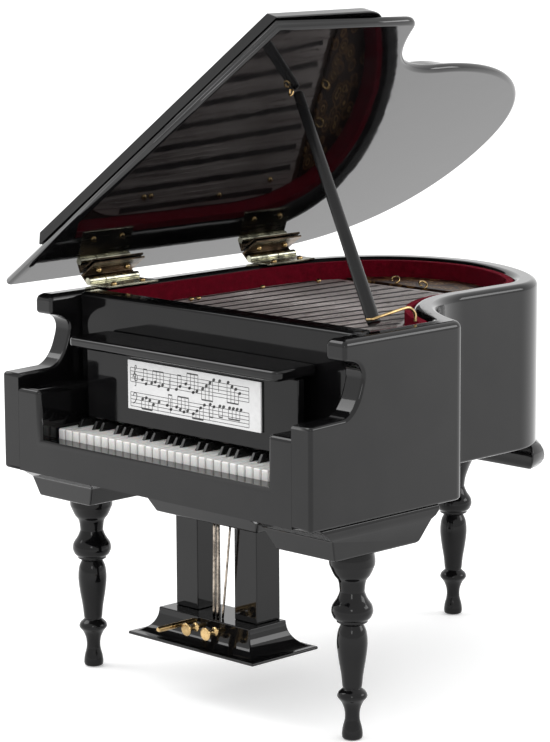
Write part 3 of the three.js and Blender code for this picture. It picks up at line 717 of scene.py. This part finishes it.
def keyboard():
    left = -KEY_COUNT * KEY_PITCH / 2
    whites = [((left + (i + 0.5) * KEY_PITCH, KEY_FRONT, KEY_BOTTOM), NO_TURN, PLAIN)
              for i in range(KEY_COUNT)]
    length, height = KEY_BACK - KEY_FRONT, KEY_TOP - KEY_BOTTOM
    master = key_shape("white_key", KEY_PITCH - 0.5, length, height, width_round=0.48)
    stamped_piece("ivory_keys", master, whites, IVORY, replaces=["white_keys"])
    sharps = [((left + (i + 1) * KEY_PITCH, SHARP_FRONT, KEY_TOP - 0.1), NO_TURN, PLAIN)
              for i in range(KEY_COUNT - 1) if i % 7 not in (1, 4)]
    length, height = KEY_BACK - SHARP_FRONT, SHARP_TOP - KEY_TOP + 0.1
    master = key_shape("black_key", SHARP_WIDTH, length, height, 1.5, 0.22, 0.14)
    stamped_piece("ebony_keys", master, sharps, EBONY, replaces=["black_keys"])


# ---------------------------------------------------------------- sheet music
STAFF_LEFT, STAFF_RIGHT = -24.3, 25.6
STAVES = (98.6, 91.3)
LINE_GAP = 1.05
FACE_Y = 15.25


def staff_height(staff, step):
    """Height of a note a number of half gaps below the top line."""
    return STAVES[staff] - step * LINE_GAP / 2


def flat_stroke(bm, points, width, lift):
    """A flat printed stroke on the card through (x, z) points, in thin relief."""
    half = width / 2
    sides = ([], [])
    for i, (x, z) in enumerate(points):
        ax, az = points[max(i - 1, 0)]
        bx, bz = points[min(i + 1, len(points) - 1)]
        length = math.hypot(bx - ax, bz - az) or 1
        nx, nz = -(bz - az) / length * half, (bx - ax) / length * half
        sides[0].append((x + nx, z + nz))
        sides[1].append((x - nx, z - nz))
    rings = []
    for (px, pz), (qx, qz) in zip(*sides):
        front, back = FACE_Y - lift, FACE_Y - 0.002
        rings.append([(px, front, pz), (qx, front, qz), (qx, back, qz), (px, back, pz)])
    loft(bm, rings)


def clefs(bm):
    """A treble sign on the upper staff and a bass sign on the lower, as plain curls."""
    x, top, gap = STAFF_LEFT + 2.1, STAVES[0], LINE_GAP
    turns = [(x + 0.35, top - 2.6 * gap), (x - 0.35, top - 2.45 * gap), (x - 0.25, top - 3.5 * gap),
             (x + 0.75, top - 3.4 * gap), (x + 0.8, top - 2.1 * gap), (x - 0.55, top - 1.7 * gap),
             (x - 1.05, top - 2.8 * gap), (x - 0.2, top - 0.9 * gap), (x + 0.55, top + 0.25 * gap),
             (x + 0.15, top + 0.75 * gap), (x - 0.2, top - 0.4 * gap), (x + 0.25, top - 4.6 * gap),
             (x - 0.35, top - 5.0 * gap)]
    curve = [(point.x, point.y) for point in spline([(a, b, 0) for a, b in turns], 5)]
    flat_stroke(bm, curve, 0.24, 0.02)
    x, top = STAFF_LEFT + 1.7, STAVES[1]
    turns = [(x - 0.5, top - 0.95 * gap), (x - 0.2, top - 0.2 * gap), (x + 0.7, top - 0.25 * gap),
             (x + 0.95, top - 1.3 * gap), (x + 0.2, top - 2.6 * gap), (x - 0.7, top - 3.2 * gap)]
    curve = [(point.x, point.y) for point in spline([(a, b, 0) for a, b in turns], 6)]
    flat_stroke(bm, curve, 0.28, 0.02)


def sheet_music():
    bm = bmesh.new()
    block(bm, -25.5, 30.3, FACE_Y, FACE_Y + 0.6, 86.2, 100.8)
    finished(rounded(solid_object("music_card", bm), 0.08, 2), CARD, replaces=["sheet_music"])
    bm = bmesh.new()
    prism(bm, [(0, 0), (1, 0), (1, -1), (0, -1)], -0.5, 0.5, lambda a, b, c: (a, b * 0.02, c * 0.17))
    lines = [((STAFF_LEFT, FACE_Y - 0.001, top - i * LINE_GAP), (0, 0, 0), (STAFF_RIGHT - STAFF_LEFT, 1, 1))
             for top in STAVES for i in range(5)]
    for x in (STAFF_LEFT, STAFF_LEFT + 17.2, STAFF_LEFT + 33.6, STAFF_RIGHT):
        lines += [((x, FACE_Y - 0.001, top - 2 * LINE_GAP), (0, math.pi / 2, 0), (4 * LINE_GAP, 1, 1))
                  for top in STAVES]
    for i, (position, turn, stretch) in enumerate(lines):
        if turn[1]:
            lines[i] = ((position[0], position[1], position[2] + 2 * LINE_GAP), turn, stretch)
    stamped_piece("staff_lines", shape_of("rule", bm, False), lines, INK)

    chance = random.Random(SEED)
    heads, bm = [], bmesh.new()
    for staff in (0, 1):
        x = STAFF_LEFT + 5.2
        step = 4
        while x < STAFF_RIGHT - 2.5:
            run = chance.choice((1, 2, 4))
            gap = 1.55 if run > 1 else 2.6
            steps = []
            for _ in range(run):
                step = max(-1, min(9, step + chance.choice((-2, -1, 1, 2))))
                steps.append(step)
            up = sum(steps) / run > 4
            stems = []
            for k, value in enumerate(steps):
                if x > STAFF_RIGHT - 1.6:
                    break
                z = staff_height(staff, value)
                heads.append(((x, FACE_Y - 0.001, z), (0, -0.35, 0), (1, 1, 1)))
                stem_x = x + (0.5 if up else -0.5)
                end = min(100.3, z + 3.2) if up else max(86.8, z - 3.2)
                stems.append([stem_x, z, end])
                x += gap
            if len(stems) > 1:
                level = (max if up else min)(stem[2] for stem in stems)
                for stem in stems:
                    stem[2] = level
                flat_stroke(bm, [(stems[0][0], level), (stems[-1][0], level)], 0.42, 0.02)
            for stem_x, z, end in stems:
                flat_stroke(bm, [(stem_x, z), (stem_x, end)], 0.18, 0.02)
            x += 0.9
    clefs(bm)
    finished(solid_object("stems_and_signs", bm, False), INK)
    bm = bmesh.new()
    oval = [(0.62 * math.cos(t), 0.45 * math.sin(t)) for t in (2 * math.pi * k / 14 for k in range(14))]
    prism(bm, oval, -0.02, 0, backwards)
    stamped_piece("note_heads", shape_of("note", bm, False), heads, INK)


# ---------------------------------------------------------------- inside the case
def band_outline(outer, inner, front):
    return plan_outline(outer, front) + plan_outline(inner, front)[::-1]


def inside():
    bm = bmesh.new()
    inset = RIM_THICK + LINING + 0.3
    prism(bm, plan_outline(inset, 32.8, steps=24), BOARD_LOW, BOARD_HIGH)
    finished(rounded(solid_object("sound_board", bm), 0.2, 2), STAINED,
             replaces=["soundboard"])

    bm = bmesh.new()
    prism(bm, band_outline(RIM_THICK + 0.05, RIM_THICK + LINING, 32.7), BOARD_LOW, 115.9)
    lining = rounded(solid_object("flocked_lining", bm), 0.3, 3)
    finished(lining, VELVET, replaces=["velvet_lining"])

    inset = RIM_THICK + LINING + 0.6
    outline = [point for point in plan_outline(inset, PLATE_FRONT, steps=24) if point[1] < CARD_END]
    left = -HALF + inset
    rounding = [(left + 22 * (1 - t) ** 2, PLATE_FRONT + 22 * t ** 2) for t in (i / 12 for i in range(13))]
    outline = rounding + outline[1:]
    bm = bmesh.new()
    prism(bm, outline, BOARD_HIGH + 0.02, CARD_TOP)
    finished(rounded(solid_object("string_plate", bm), 0.25, 3), STRING_CARD,
             replaces=["string_card"])

    bm = bmesh.new()
    tail = [point for point in plan_outline(inset, 0, steps=24) if point[1] > CARD_END + 1]
    prism(bm, tail, BOARD_HIGH + 0.02, CARD_TOP + 0.3)
    finished(rounded(solid_object("gilt_plate", bm), 0.2, 3), GILT, replaces=["tail_plate"])
    strings(outline)


def reach(outline, x, y, lean):
    """How far a line from (x, y), leaning in x per unit of y, runs before it leaves the outline."""
    best = None
    for (ax, ay), (bx, by) in zip(outline, outline[1:] + outline[:1]):
        dx, dy = bx - ax, by - ay
        span = lean * dy - dx
        if abs(span) < 1e-9:
            continue
        s = ((x - ax) - lean * (y - ay)) / (dx - lean * dy)
        t = ay + s * dy - y
        if 0 <= s <= 1 and t > 4 and (best is None or t < best):
            best = t
    return best


def strings(outline):
    """Near-black strips of painted shade for the gaps between the silver bands, and fine wires along the
    bands.
    """
    groove = bmesh.new()
    prism(groove, [(-0.5, 0), (0.5, 0), (0.5, 1), (-0.5, 1)], 0, 0.06)
    wire = bmesh.new()
    lathe(wire, [(0.08, 0), (0.08, 1)], (0, 0, 0), axis="y", sides=6)
    gap_shade_strips, wires = [], []
    bands = 17
    for i in range(bands * 4 + 1):
        x = -53 + 106 * i / (bands * 4)
        lean = 0.02 + 0.20 * i / (bands * 4)
        start = 37 if x > -44 else 37 + (-44 - x) * 1.9
        run = reach(outline, x, start, lean)
        if not run or run < 9:
            continue
        turn = (0, 0, -math.atan(lean))
        length = (run - 2.2) * math.hypot(1, lean)
        # Every fourth line gets a flat near-black strip of painted shade; the others get a wire.
        if i % 4 == 0:
            gap_shade_strips.append(((x, start, CARD_TOP - 0.01), turn, (1.9, length, 1)))
        else:
            wires.append(((x, start, CARD_TOP + 0.10), turn, (1, length, 1)))
    stamped_piece("string_grooves", shape_of("groove", groove, False), gap_shade_strips, GAP_SHADE_PAINT)
    stamped_piece("string_wires", shape_of("wire", wire), wires, WIRE)

    pin = bmesh.new()
    lathe(pin, [(0.45, 0), (0.45, 0.5), (0.95, 0.62), (1.0, 0.9), (0.75, 1.25), (0.3, 1.45), (0.05, 1.5)],
          (0, 0, 0), sides=20)
    spots = [(-48.6, 62.7), (-48.5, 65.6), (-51.0, 96.0), (-47.5, 118.0)]
    pins = [((x, y, CARD_TOP - 0.05), (0, 0, 0.3 * k), (1, 1, 1)) for k, (x, y) in enumerate(spots)]
    stamped_piece("plate_pins", shape_of("pin", pin), pins, BRASS)

    hook = bmesh.new()
    loop = [(1.3 * math.cos(t), 0.9 * math.sin(t), 1.0 + 0.8 * math.sin(t) + 0.1 * t)
            for t in (math.radians(-60 + 300 * k / 22) for k in range(23))]
    tube(hook, [(0, -0.8, -0.2)] + loop, 0.32, 10)
    places = [((-28.0, 133.5, CARD_TOP + 0.3), (0, 0, 0.4), (1, 1, 1)),
              ((-14.5, 131.9, CARD_TOP + 0.3), (0, 0, 1.2), (1, 1, 1))]
    stamped_piece("plate_hooks", shape_of("hook", hook), places, BRASS)


# ---------------------------------------------------------------- blocks, legs and lyre
def tapered(name, node, top, bottom, z0, z1, width):
    """A block that narrows downwards: top and bottom are (x0, x1, y0, y1)."""
    def ring(size, z):
        x0, x1, y0, y1 = size
        return [(x0, y0, z), (x1, y0, z), (x1, y1, z), (x0, y1, z)]
    bm = bmesh.new()
    loft(bm, [ring(bottom, z0), ring(top, z1)])
    finished(rounded(solid_object(name, bm), width, 5, 20), LACQUER, replaces=[node])


# Across from x0 to x1, back from y0 to y1 and up to z, on the treble side.
CORNER_LEVELS = [(42.0, 62.0, 13.2, 45.4, 54.5), (39.5, 62.6, 11.8, 46.3, 55.0),
                 (36.3, 63.7, 9.8, 50.4, 61.0), (34.4, 64.2, 8.2, 51.8, 62.0),
                 (33.3, 64.5, 6.4, 52.7, 63.3), (32.7, 64.45, 5.0, 52.9, 64.2),
                 (32.6, 64.2, 4.6, 52.7, 64.98)]


def blocks():
    low, high = 56.2, CASE_BOTTOM - 0.02
    for side, name in ((-1, "left"), (1, "right")):
        rings = []
        for x0, x1, y0, y1, z in CORNER_LEVELS:
            near, far = sorted((side * x0, side * x1))
            rings.append([(near, y0, z), (far, y0, z), (far, y1, z), (near, y1, z)])
        bm = bmesh.new()
        loft(bm, rings)
        finished(rounded(solid_object(f"corner_block_{name}", bm), 0.4, 3, 24), LACQUER,
                 replaces=[f"leg_block_{name}"])
    tapered("lyre_head_block", "lyre_block", (-27.5, 27.5, 17.5, 44), (-21.3, 21.3, 22, 39.5), 54.5, high,
            0.8)
    levels = [(2.6, low, 3.4), (1.2, low + 0.15, 2.4), (-0.4, 57.0, 1.0), (-1.7, 58.2, 0.3), (-2.5, 59.5, 0),
              (-2.7, 60.8, 0), (-2.4, 62.2, 0.2), (-1.5, 63.7, 0.6), (0.2, high, 1.0)]
    base = plan_outline(0)
    on_tail = [i for i, (x, y) in enumerate(base) if y > 141 and x < TAIL_X]
    rings = []
    for inset, z, back in levels:
        outline = plan_outline(inset)
        ring = [(*outline[i], z) for i in on_tail]
        rings.append([(ring[0][0] - 1.5, 136 + back, z)] + ring + [(ring[-1][0] + 1, 136 + back, z)])
    bm = bmesh.new()
    loft(bm, rings)
    finished(rounded(solid_object("tail_foot_block", bm), 0.5, 3, 38), LACQUER, replaces=["leg_block_tail"])


LEG_STATIONS = [(2.45, 0.0), (2.85, 0.35), (3.0, 1.4), (2.75, 3.3), (2.15, 5.8), (2.25, 8.4), (3.05, 10.6),
                (4.1, 12.0), (4.3, 12.7), (3.9, 13.7), (2.75, 14.8), (2.85, 15.6), (3.2, 19), (3.95, 23.5),
                (4.4, 27.8), (4.1, 31.2), (3.3, 33.2), (3.3, 33.5), (4.35, 34.1), (4.5, 34.7),
                (5.3, 35.4), (5.85, 36.6), (5.95, 37.6), (5.6, 39.0), (4.4, 40.8), (3.65, 42.6),
                (3.6, 43.4), (4.0, 46)]
CUP_STATIONS = [(5.2, -6.8), (6.2, -4.6), (6.55, -3.6), (6.55, -2.0), (6.2, -0.05)]


def legs():
    for side, (x, y, top) in LEG_PLACES.items():
        node = "leg_tail" if side == "tail" else f"leg_front_{side}"
        stations = LEG_STATIONS + [(radius, top + drop) for radius, drop in CUP_STATIONS]
        profile = [(point.x, point.y) for point in spline([(r, z, 0) for r, z in stations], 4)]
        bm = bmesh.new()
        lathe(bm, profile, (x, y, 0), sides=56)
        leg = solid_object(f"turned_leg_{side}", bm)
        sharp_by_angle(leg, 50)
        finished(leg, TURNED_BLACK, replaces=[node])


def sharp_by_angle(made, degrees):
    bm = bmesh.new()
    bm.from_mesh(made.data)
    for edge in bm.edges:
        if len(edge.link_faces) == 2 and edge.calc_face_angle(0) > math.radians(degrees):
            edge.smooth = False
    bm.to_mesh(made.data)
    bm.free()


def lyre():
    for side, name in ((-1, "left"), (1, "right")):
        board(f"lyre_pillar_{name}", f"lyre_post_{name}", side * 12.5 - 4.65, side * 12.5 + 4.65, 26.0, 35.6,
              26.02, 54.46, 0.3, 3)
    flare = []
    for i in range(13):
        t = i / 12
        drawn_in = math.sin(t * math.pi / 2) ** 0.9
        flare.append((26.6 - 7.3 * drawn_in, 13.5 - 5.9 * drawn_in, 18.3 + 7.7 * t ** 1.75))
    stations = [(26.6, 13.5, 17.4)] + flare
    y = 28.4
    bm = bmesh.new()
    loft(bm, [[(-a, y - b, z), (a, y - b, z), (a, y + b, z), (-a, y + b, z)] for a, b, z in stations])
    finished(rounded(solid_object("lyre_foot", bm), 0.35, 3, 28), LACQUER, replaces=["lyre_base"])

    y = 24.2
    for name, node, top_x, low_x, radius in (("pedal_rod_left", "lyre_rod_left", 1.5, 1.0, 0.42),
                                             ("pedal_rod_middle", "lyre_rod_middle", 3.1, 2.6, 0.42),
                                             ("pedal_rod_right", "lyre_rod_right", 8.2, 4.7, 0.35)):
        bm = bmesh.new()
        route = [(low_x, y, 26.1), ((low_x + top_x) / 2 + 0.1, y - 0.1, 40), (top_x, y, 54.4)]
        tube(bm, spline(route, 8), radius, 16)
        finished(solid_object(name, bm), ROD_METAL, replaces=[node])
    pedals()


def pedals():
    """A short threaded pin on the left, and two round-headed tacks."""
    profile = [(0.1, 4.7), (0.5, 4.75), (0.66, 5.0)]
    turns = 38
    for i in range(turns):
        at = 5.2 + i * 0.38
        profile += [(0.62, at), (0.84, at + 0.19)]
    profile += [(0.62, 20.0), (0.62, 20.3)]
    bm = bmesh.new()
    lathe(bm, profile, (-2.4, 0, 25), axis="y", sides=20)
    finished(solid_object("pedal_pin", bm), BRASS, replaces=["pedal_left"])
    for name, node, x, front in (("pedal_tack_middle", "pedal_middle", 1.6, 11.9),
                                 ("pedal_tack_right", "pedal_right", 9.4, 12.2)):
        head = [(0.05, 0.25), (0.8, 0.12), (1.5, 0.02), (1.95, 0.35), (1.98, 0.7), (1.7, 1.1),
                (1.1, 1.4), (0.75, 1.6), (0.72, 4.0), (1.3, 4.1), (1.45, 4.5), (1.1, 4.9), (0.72, 5.0),
                (0.72, 20 - front)]
        bm = bmesh.new()
        lathe(bm, [(r, front + h) for r, h in head], (x, 0, 24.4), axis="y", sides=28)
        finished(solid_object(name, bm), BRASS, replaces=[node])


# ---------------------------------------------------------------- lid
def raise_lid(bm):
    """Turns a mesh drawn on the closed lid, about the hinge axis, to where it stands open."""
    bmesh.ops.rotate(bm, cent=(0, 0, 0), matrix=Matrix.Rotation(-LID_ANGLE, 3, "Y"), verts=bm.verts)
    bmesh.ops.translate(bm, vec=(HINGE_X, 0, HINGE_Z), verts=bm.verts)


def lid_outline(steps=44):
    bass, treble, waist, tail, tail_y = -3.6, 138.9, 108.2, 48.0, 169.2
    points = [(bass, 7.0), (treble, 7.0)]
    start, middle, end = (treble - 1.8, 60.0), (treble - 1.9, 64.4), (treble - 4.9, 65.5)
    points += swept(start, middle, end, [i / 8 for i in range(8)])
    points += bezier(end, (122.5, 69.8), (waist - 0.6, 78), (waist, 101), steps)
    points += bezier((waist, 101), (waist + 0.4, 131), (92, tail_y - 0.4), (tail, tail_y), steps)
    points += bezier((tail, tail_y), (14, tail_y), (bass, 145), (bass, 108), steps)
    points.append((bass, 108.0))
    return points


def lid_plate():
    bm = bmesh.new()
    prism(bm, lid_outline(), LID_UNDER, LID_UNDER + LID_THICK)
    tidy(bm)
    weight = bm.edges.layers.float.new("bevel_weight_edge")
    for edge in bm.edges:
        if abs(edge.verts[0].co.z - edge.verts[1].co.z) < 0.1:
            edge[weight] = 1.0
    raise_lid(bm)
    plate = solid_object("lid_board", bm)
    finished(rounded(plate, 1.42, 6, by_weight=True), LID_BLACK, "lid", replaces=["lid_plate"])


def lid_panel():
    """The raised field: sloping sides, square front."""
    bass, treble, waist, front = 15.8, 138.8, 106.2, 7.6
    outline = [(bass, front), (treble, front)]
    outline += bezier((treble, 44), (treble, 60), (waist + 0.4, 62), (waist, 92), 40)
    outline += [(waist, 92.0)]
    outline += bezier((waist, 98), (waist - 1.8, 126), (82, 148), (50, 148), 36)
    outline += bezier((50, 148), (26, 148), (bass, 128), (bass, 104), 36)
    outline += [(bass, 104.0)]
    low, high, slope = LID_UNDER + LID_THICK + 0.3, LID_UNDER + LID_THICK + 3.3, 2.3
    count = len(outline)
    shrunk = []
    for i, (x, y) in enumerate(outline):
        ax, ay = outline[i - 1]
        bx, by = outline[(i + 1) % count]
        if i == 0:
            shrunk.append((x + slope, y))
        elif i == 1:
            shrunk.append((x - slope, y))
        else:
            dx, dy = bx - ax, by - ay
            length = math.hypot(dx, dy)
            shrunk.append((x - dy / length * slope, y + dx / length * slope))
    bm = bmesh.new()
    loft(bm, [[(x, y, low) for x, y in outline], [(x, y, low + 0.4) for x, y in outline],
              [(x, y, high) for x, y in shrunk]])
    raise_lid(bm)
    finished(rounded(solid_object("raised_field", bm), 0.5, 3, 22), LACQUER, "lid", replaces=["lid_panel"])


def lid_eye():
    """A small screw eye in the underside, beside the stick's tip."""
    bm = bmesh.new()
    x, y, z = 105.0, 38.2, LID_UNDER - 1.4
    ring = [(x + 0.85 * math.cos(t), y + 0.35 * math.sin(t), z + 0.85 * math.sin(t))
            for t in (math.radians(100 + 330 * k / 24) for k in range(25))]
    tube(bm, [(x, y, LID_UNDER - 0.3), (x, y, LID_UNDER - 0.45)] + ring, 0.27, 10)
    raise_lid(bm)
    finished(solid_object("screw_eye", bm), BRASS, "lid", ["lid_eye"])


# ---------------------------------------------------------------- hinges
def barrel(bm, y0, y1):
    rim = 0.14
    lathe(bm, [(0.62, y0), (1.2 - rim, y0), (1.2, y0 + rim), (1.2, y1 - rim), (1.2 - rim, y1), (0.62, y1)],
          (0, 0, 0), axis="y", sides=40)


def move(bm, vector):
    bmesh.ops.translate(bm, vec=vector, verts=bm.verts)


def hinge_piece(name, build, width, on_lid, front):
    """One part of a hinge, drawn about the hinge axis and set at its place along it."""
    bm = bmesh.new()
    build(bm)
    move(bm, (0, front, 0))
    if on_lid:
        raise_lid(bm)
    else:
        move(bm, (HINGE_X, 0, HINGE_Z))
    piece = solid_object(name, bm)
    if width:
        rounded(piece, width, 3)
    sharp_by_angle(piece, 40)
    return piece


def hinges():
    low = CASE_TOP - HINGE_Z + 0.02
    face = LID_UNDER - 0.3
    under = face - 0.6
    case_nails, lid_nails = [], []
    for place, (front, split) in HINGES.items():
        def case_strap(bm):
            prism(bm, [(0.9, low), (9.6, low), (9.6, low + 0.6), (1.3, low + 0.6), (0.6, low + 0.9)],
                  0, HINGE_LENGTH, backwards)

        def lid_strap(bm):
            prism(bm, [(-1.15, 0.2), (-0.55, 0.7), (-1.1, under), (6.3, under), (6.3, face), (-1.8, face)],
                  0, HINGE_LENGTH, backwards)

        parts = [(f"rim_leaf_{place}", case_strap, 0.12, "case", HINGE_METAL, [f"hinge_case_leaf_{place}"]),
                 (f"rim_barrel_{place}", lambda bm, s=split: barrel(bm, s + 0.15, HINGE_LENGTH), 0, "case",
                  HINGE_METAL, []),
                 (f"lid_leaf_{place}", lid_strap, 0.12, "lid", TARNISHED, [f"hinge_lid_leaf_{place}"]),
                 (f"lid_barrel_{place}", lambda bm, s=split: barrel(bm, 0, s - 0.15), 0, "lid",
                  HINGE_METAL, [])]
        for name, build, width, body, metal, nodes in parts:
            piece = hinge_piece(name, build, width, body == "lid", front)
            finished(piece, metal, body, nodes)
        bm = bmesh.new()
        far = HINGE_LENGTH
        lathe(bm, [(0.1, 0.05), (0.4, 0.1), (0.55, 0.3), (0.55, far - 0.3), (0.4, far - 0.1),
                   (0.1, far - 0.05)], (HINGE_X, front, HINGE_Z), axis="y", sides=24)
        finished(solid_object(f"pivot_pin_{place}", bm), BRASS, "case", [f"hinge_pin_{place}"])
        for y in (4.6, HINGE_LENGTH - 4.2):
            case_nails.append(((HINGE_X + 6.8, front + y, HINGE_Z + low + 0.6), (0, 0, y), (1, 1, 1)))
            seat = Matrix.Rotation(-LID_ANGLE, 3, "Y") @ Vector((1.6, 0, under))
            lid_nails.append(((HINGE_X + seat.x, front + y, HINGE_Z + seat.z), (0, math.pi - LID_ANGLE, 0),
                              PLAIN))

    def nail():
        bm = bmesh.new()
        lathe(bm, [(0.98, 0.0), (1.0, 0.14), (0.9, 0.42), (0.68, 0.66), (0.36, 0.82), (0.05, 0.87)],
              (0, 0, 0), sides=24)
        return shape_of("nail", bm)

    names = [f"case_nail_{place}_{end}" for place in HINGES for end in ("front", "back")]
    stamped_piece("rim_nails", nail(), case_nails, BRASS, "case", names)
    names = [f"lid_nail_{place}_{end}" for place in HINGES for end in ("front", "back")]
    stamped_piece("lid_nails", nail(), lid_nails, BRASS, "lid", names)


# ---------------------------------------------------------------- prop
def prop():
    foot = Vector((55.2, 35, 118.9))
    along, y = 103.4, 42.8
    tip = Vector((HINGE_X + along * math.cos(LID_ANGLE) - LID_UNDER * math.sin(LID_ANGLE), y,
                  HINGE_Z + along * math.sin(LID_ANGLE) + LID_UNDER * math.cos(LID_ANGLE)))
    way = (tip - foot).normalized()
    length = (tip - foot).length - 0.6
    stations = [(-1.2, 1.55), (-1.1, 1.8), (-0.8, 1.95), (0.5, 2.0), (length * 0.5, 1.77),
                (length - 0.9, 1.52), (length - 0.35, 1.4), (length - 0.05, 1.05)]
    bm = bmesh.new()
    tube(bm, [foot + way * at for at, _ in stations], 1, 32, [radius for _, radius in stations])
    stick = solid_object("prop_rod", bm)
    sharp_by_angle(stick, 45)
    finished(stick, STICK_BLACK, "prop", replaces=["prop_stick"])
    x, top = 58.1, CASE_TOP
    route = [(55.4, 32.1, top + 2.7), (57.4, 32.3, top + 2.9), (x, 34.2, top + 3.4), (x, 39, top + 4),
             (x, 43.1, top + 4.5), (x, 46.6, top + 4.6), (x, 48.9, top + 2.8), (x, 49.2, top + 0.3)]
    bm = bmesh.new()
    tube(bm, spline(route, 9), 0.45, 14)
    finished(solid_object("bent_wire", bm), BRASS, "case", ["prop_wire"])


# ---------------------------------------------------------------- studio
def camera():
    data = bpy.data.cameras.new("view")
    data.sensor_fit = "AUTO"
    data.sensor_width = 36
    data.lens = LENS
    data.clip_start, data.clip_end = 0.01, 200
    made = in_scene("view", data)
    azimuth, elevation, roll = (math.radians(angle) for angle in (VIEW_AZIMUTH, VIEW_ELEVATION, VIEW_ROLL))
    back = Vector((math.sin(azimuth) * math.cos(elevation), -math.cos(azimuth) * math.cos(elevation),
                   math.sin(elevation)))
    made.location = CASE_ORIGIN + (Vector(VIEW_TARGET) + back * VIEW_DISTANCE) * MM
    turn = (-back).to_track_quat("-Z", "Y").to_matrix() @ Matrix.Rotation(roll, 3, "Z")
    made.rotation_mode = "QUATERNION"
    made.rotation_quaternion = turn.to_quaternion()
    bpy.context.scene.camera = made


def softbox(name, place, aim, width, height, power):
    data = bpy.data.lights.new(name, "AREA")
    data.shape, data.size, data.size_y = "RECTANGLE", width, height
    data.energy = power
    made = in_scene(name, data)
    made.location = place
    made.rotation_mode = "QUATERNION"
    made.rotation_quaternion = (Vector(aim) - Vector(place)).to_track_quat("-Z", "Y")


def studio():
    bm = bmesh.new()
    bmesh.ops.create_circle(bm, cap_ends=True, segments=96, radius=14)
    mesh = bpy.data.meshes.new("studio_floor")
    bm.to_mesh(mesh)
    bm.free()
    floor = in_scene("studio_floor", mesh)
    floor.location.z = -0.0002
    mesh.materials.append(floor_finish())
    world = bpy.data.worlds.new("studio")
    world.use_nodes = True
    world.node_tree.nodes["Background"].inputs["Color"].default_value = (1.0, 1.0, 1.0, 1)
    world.node_tree.nodes["Background"].inputs["Strength"].default_value = 1.2
    bpy.context.scene.world = world
    softbox("high_left", (-0.55, -0.35, 0.75), (0, 0, 0.1), 0.45, 0.45, 2.5)
    softbox("behind_right", (0.75, 0.75, 0.5), (0, 0, 0.1), 0.5, 0.35, 2.5)
    softbox("window_front", (0.65, -0.75, 0.45), (0, 0, 0.07), 0.16, 0.28, 0.8)
    bpy.context.scene.view_settings.view_transform = "Standard"
    bpy.context.scene.view_settings.look = "None"


camera()
case_rim()
case_boards()
front_surround()
music_shelf()
keyboard()
sheet_music()
inside()
blocks()
legs()
lyre()
lid_plate()
lid_panel()
lid_eye()
hinges()
prop()
studio()
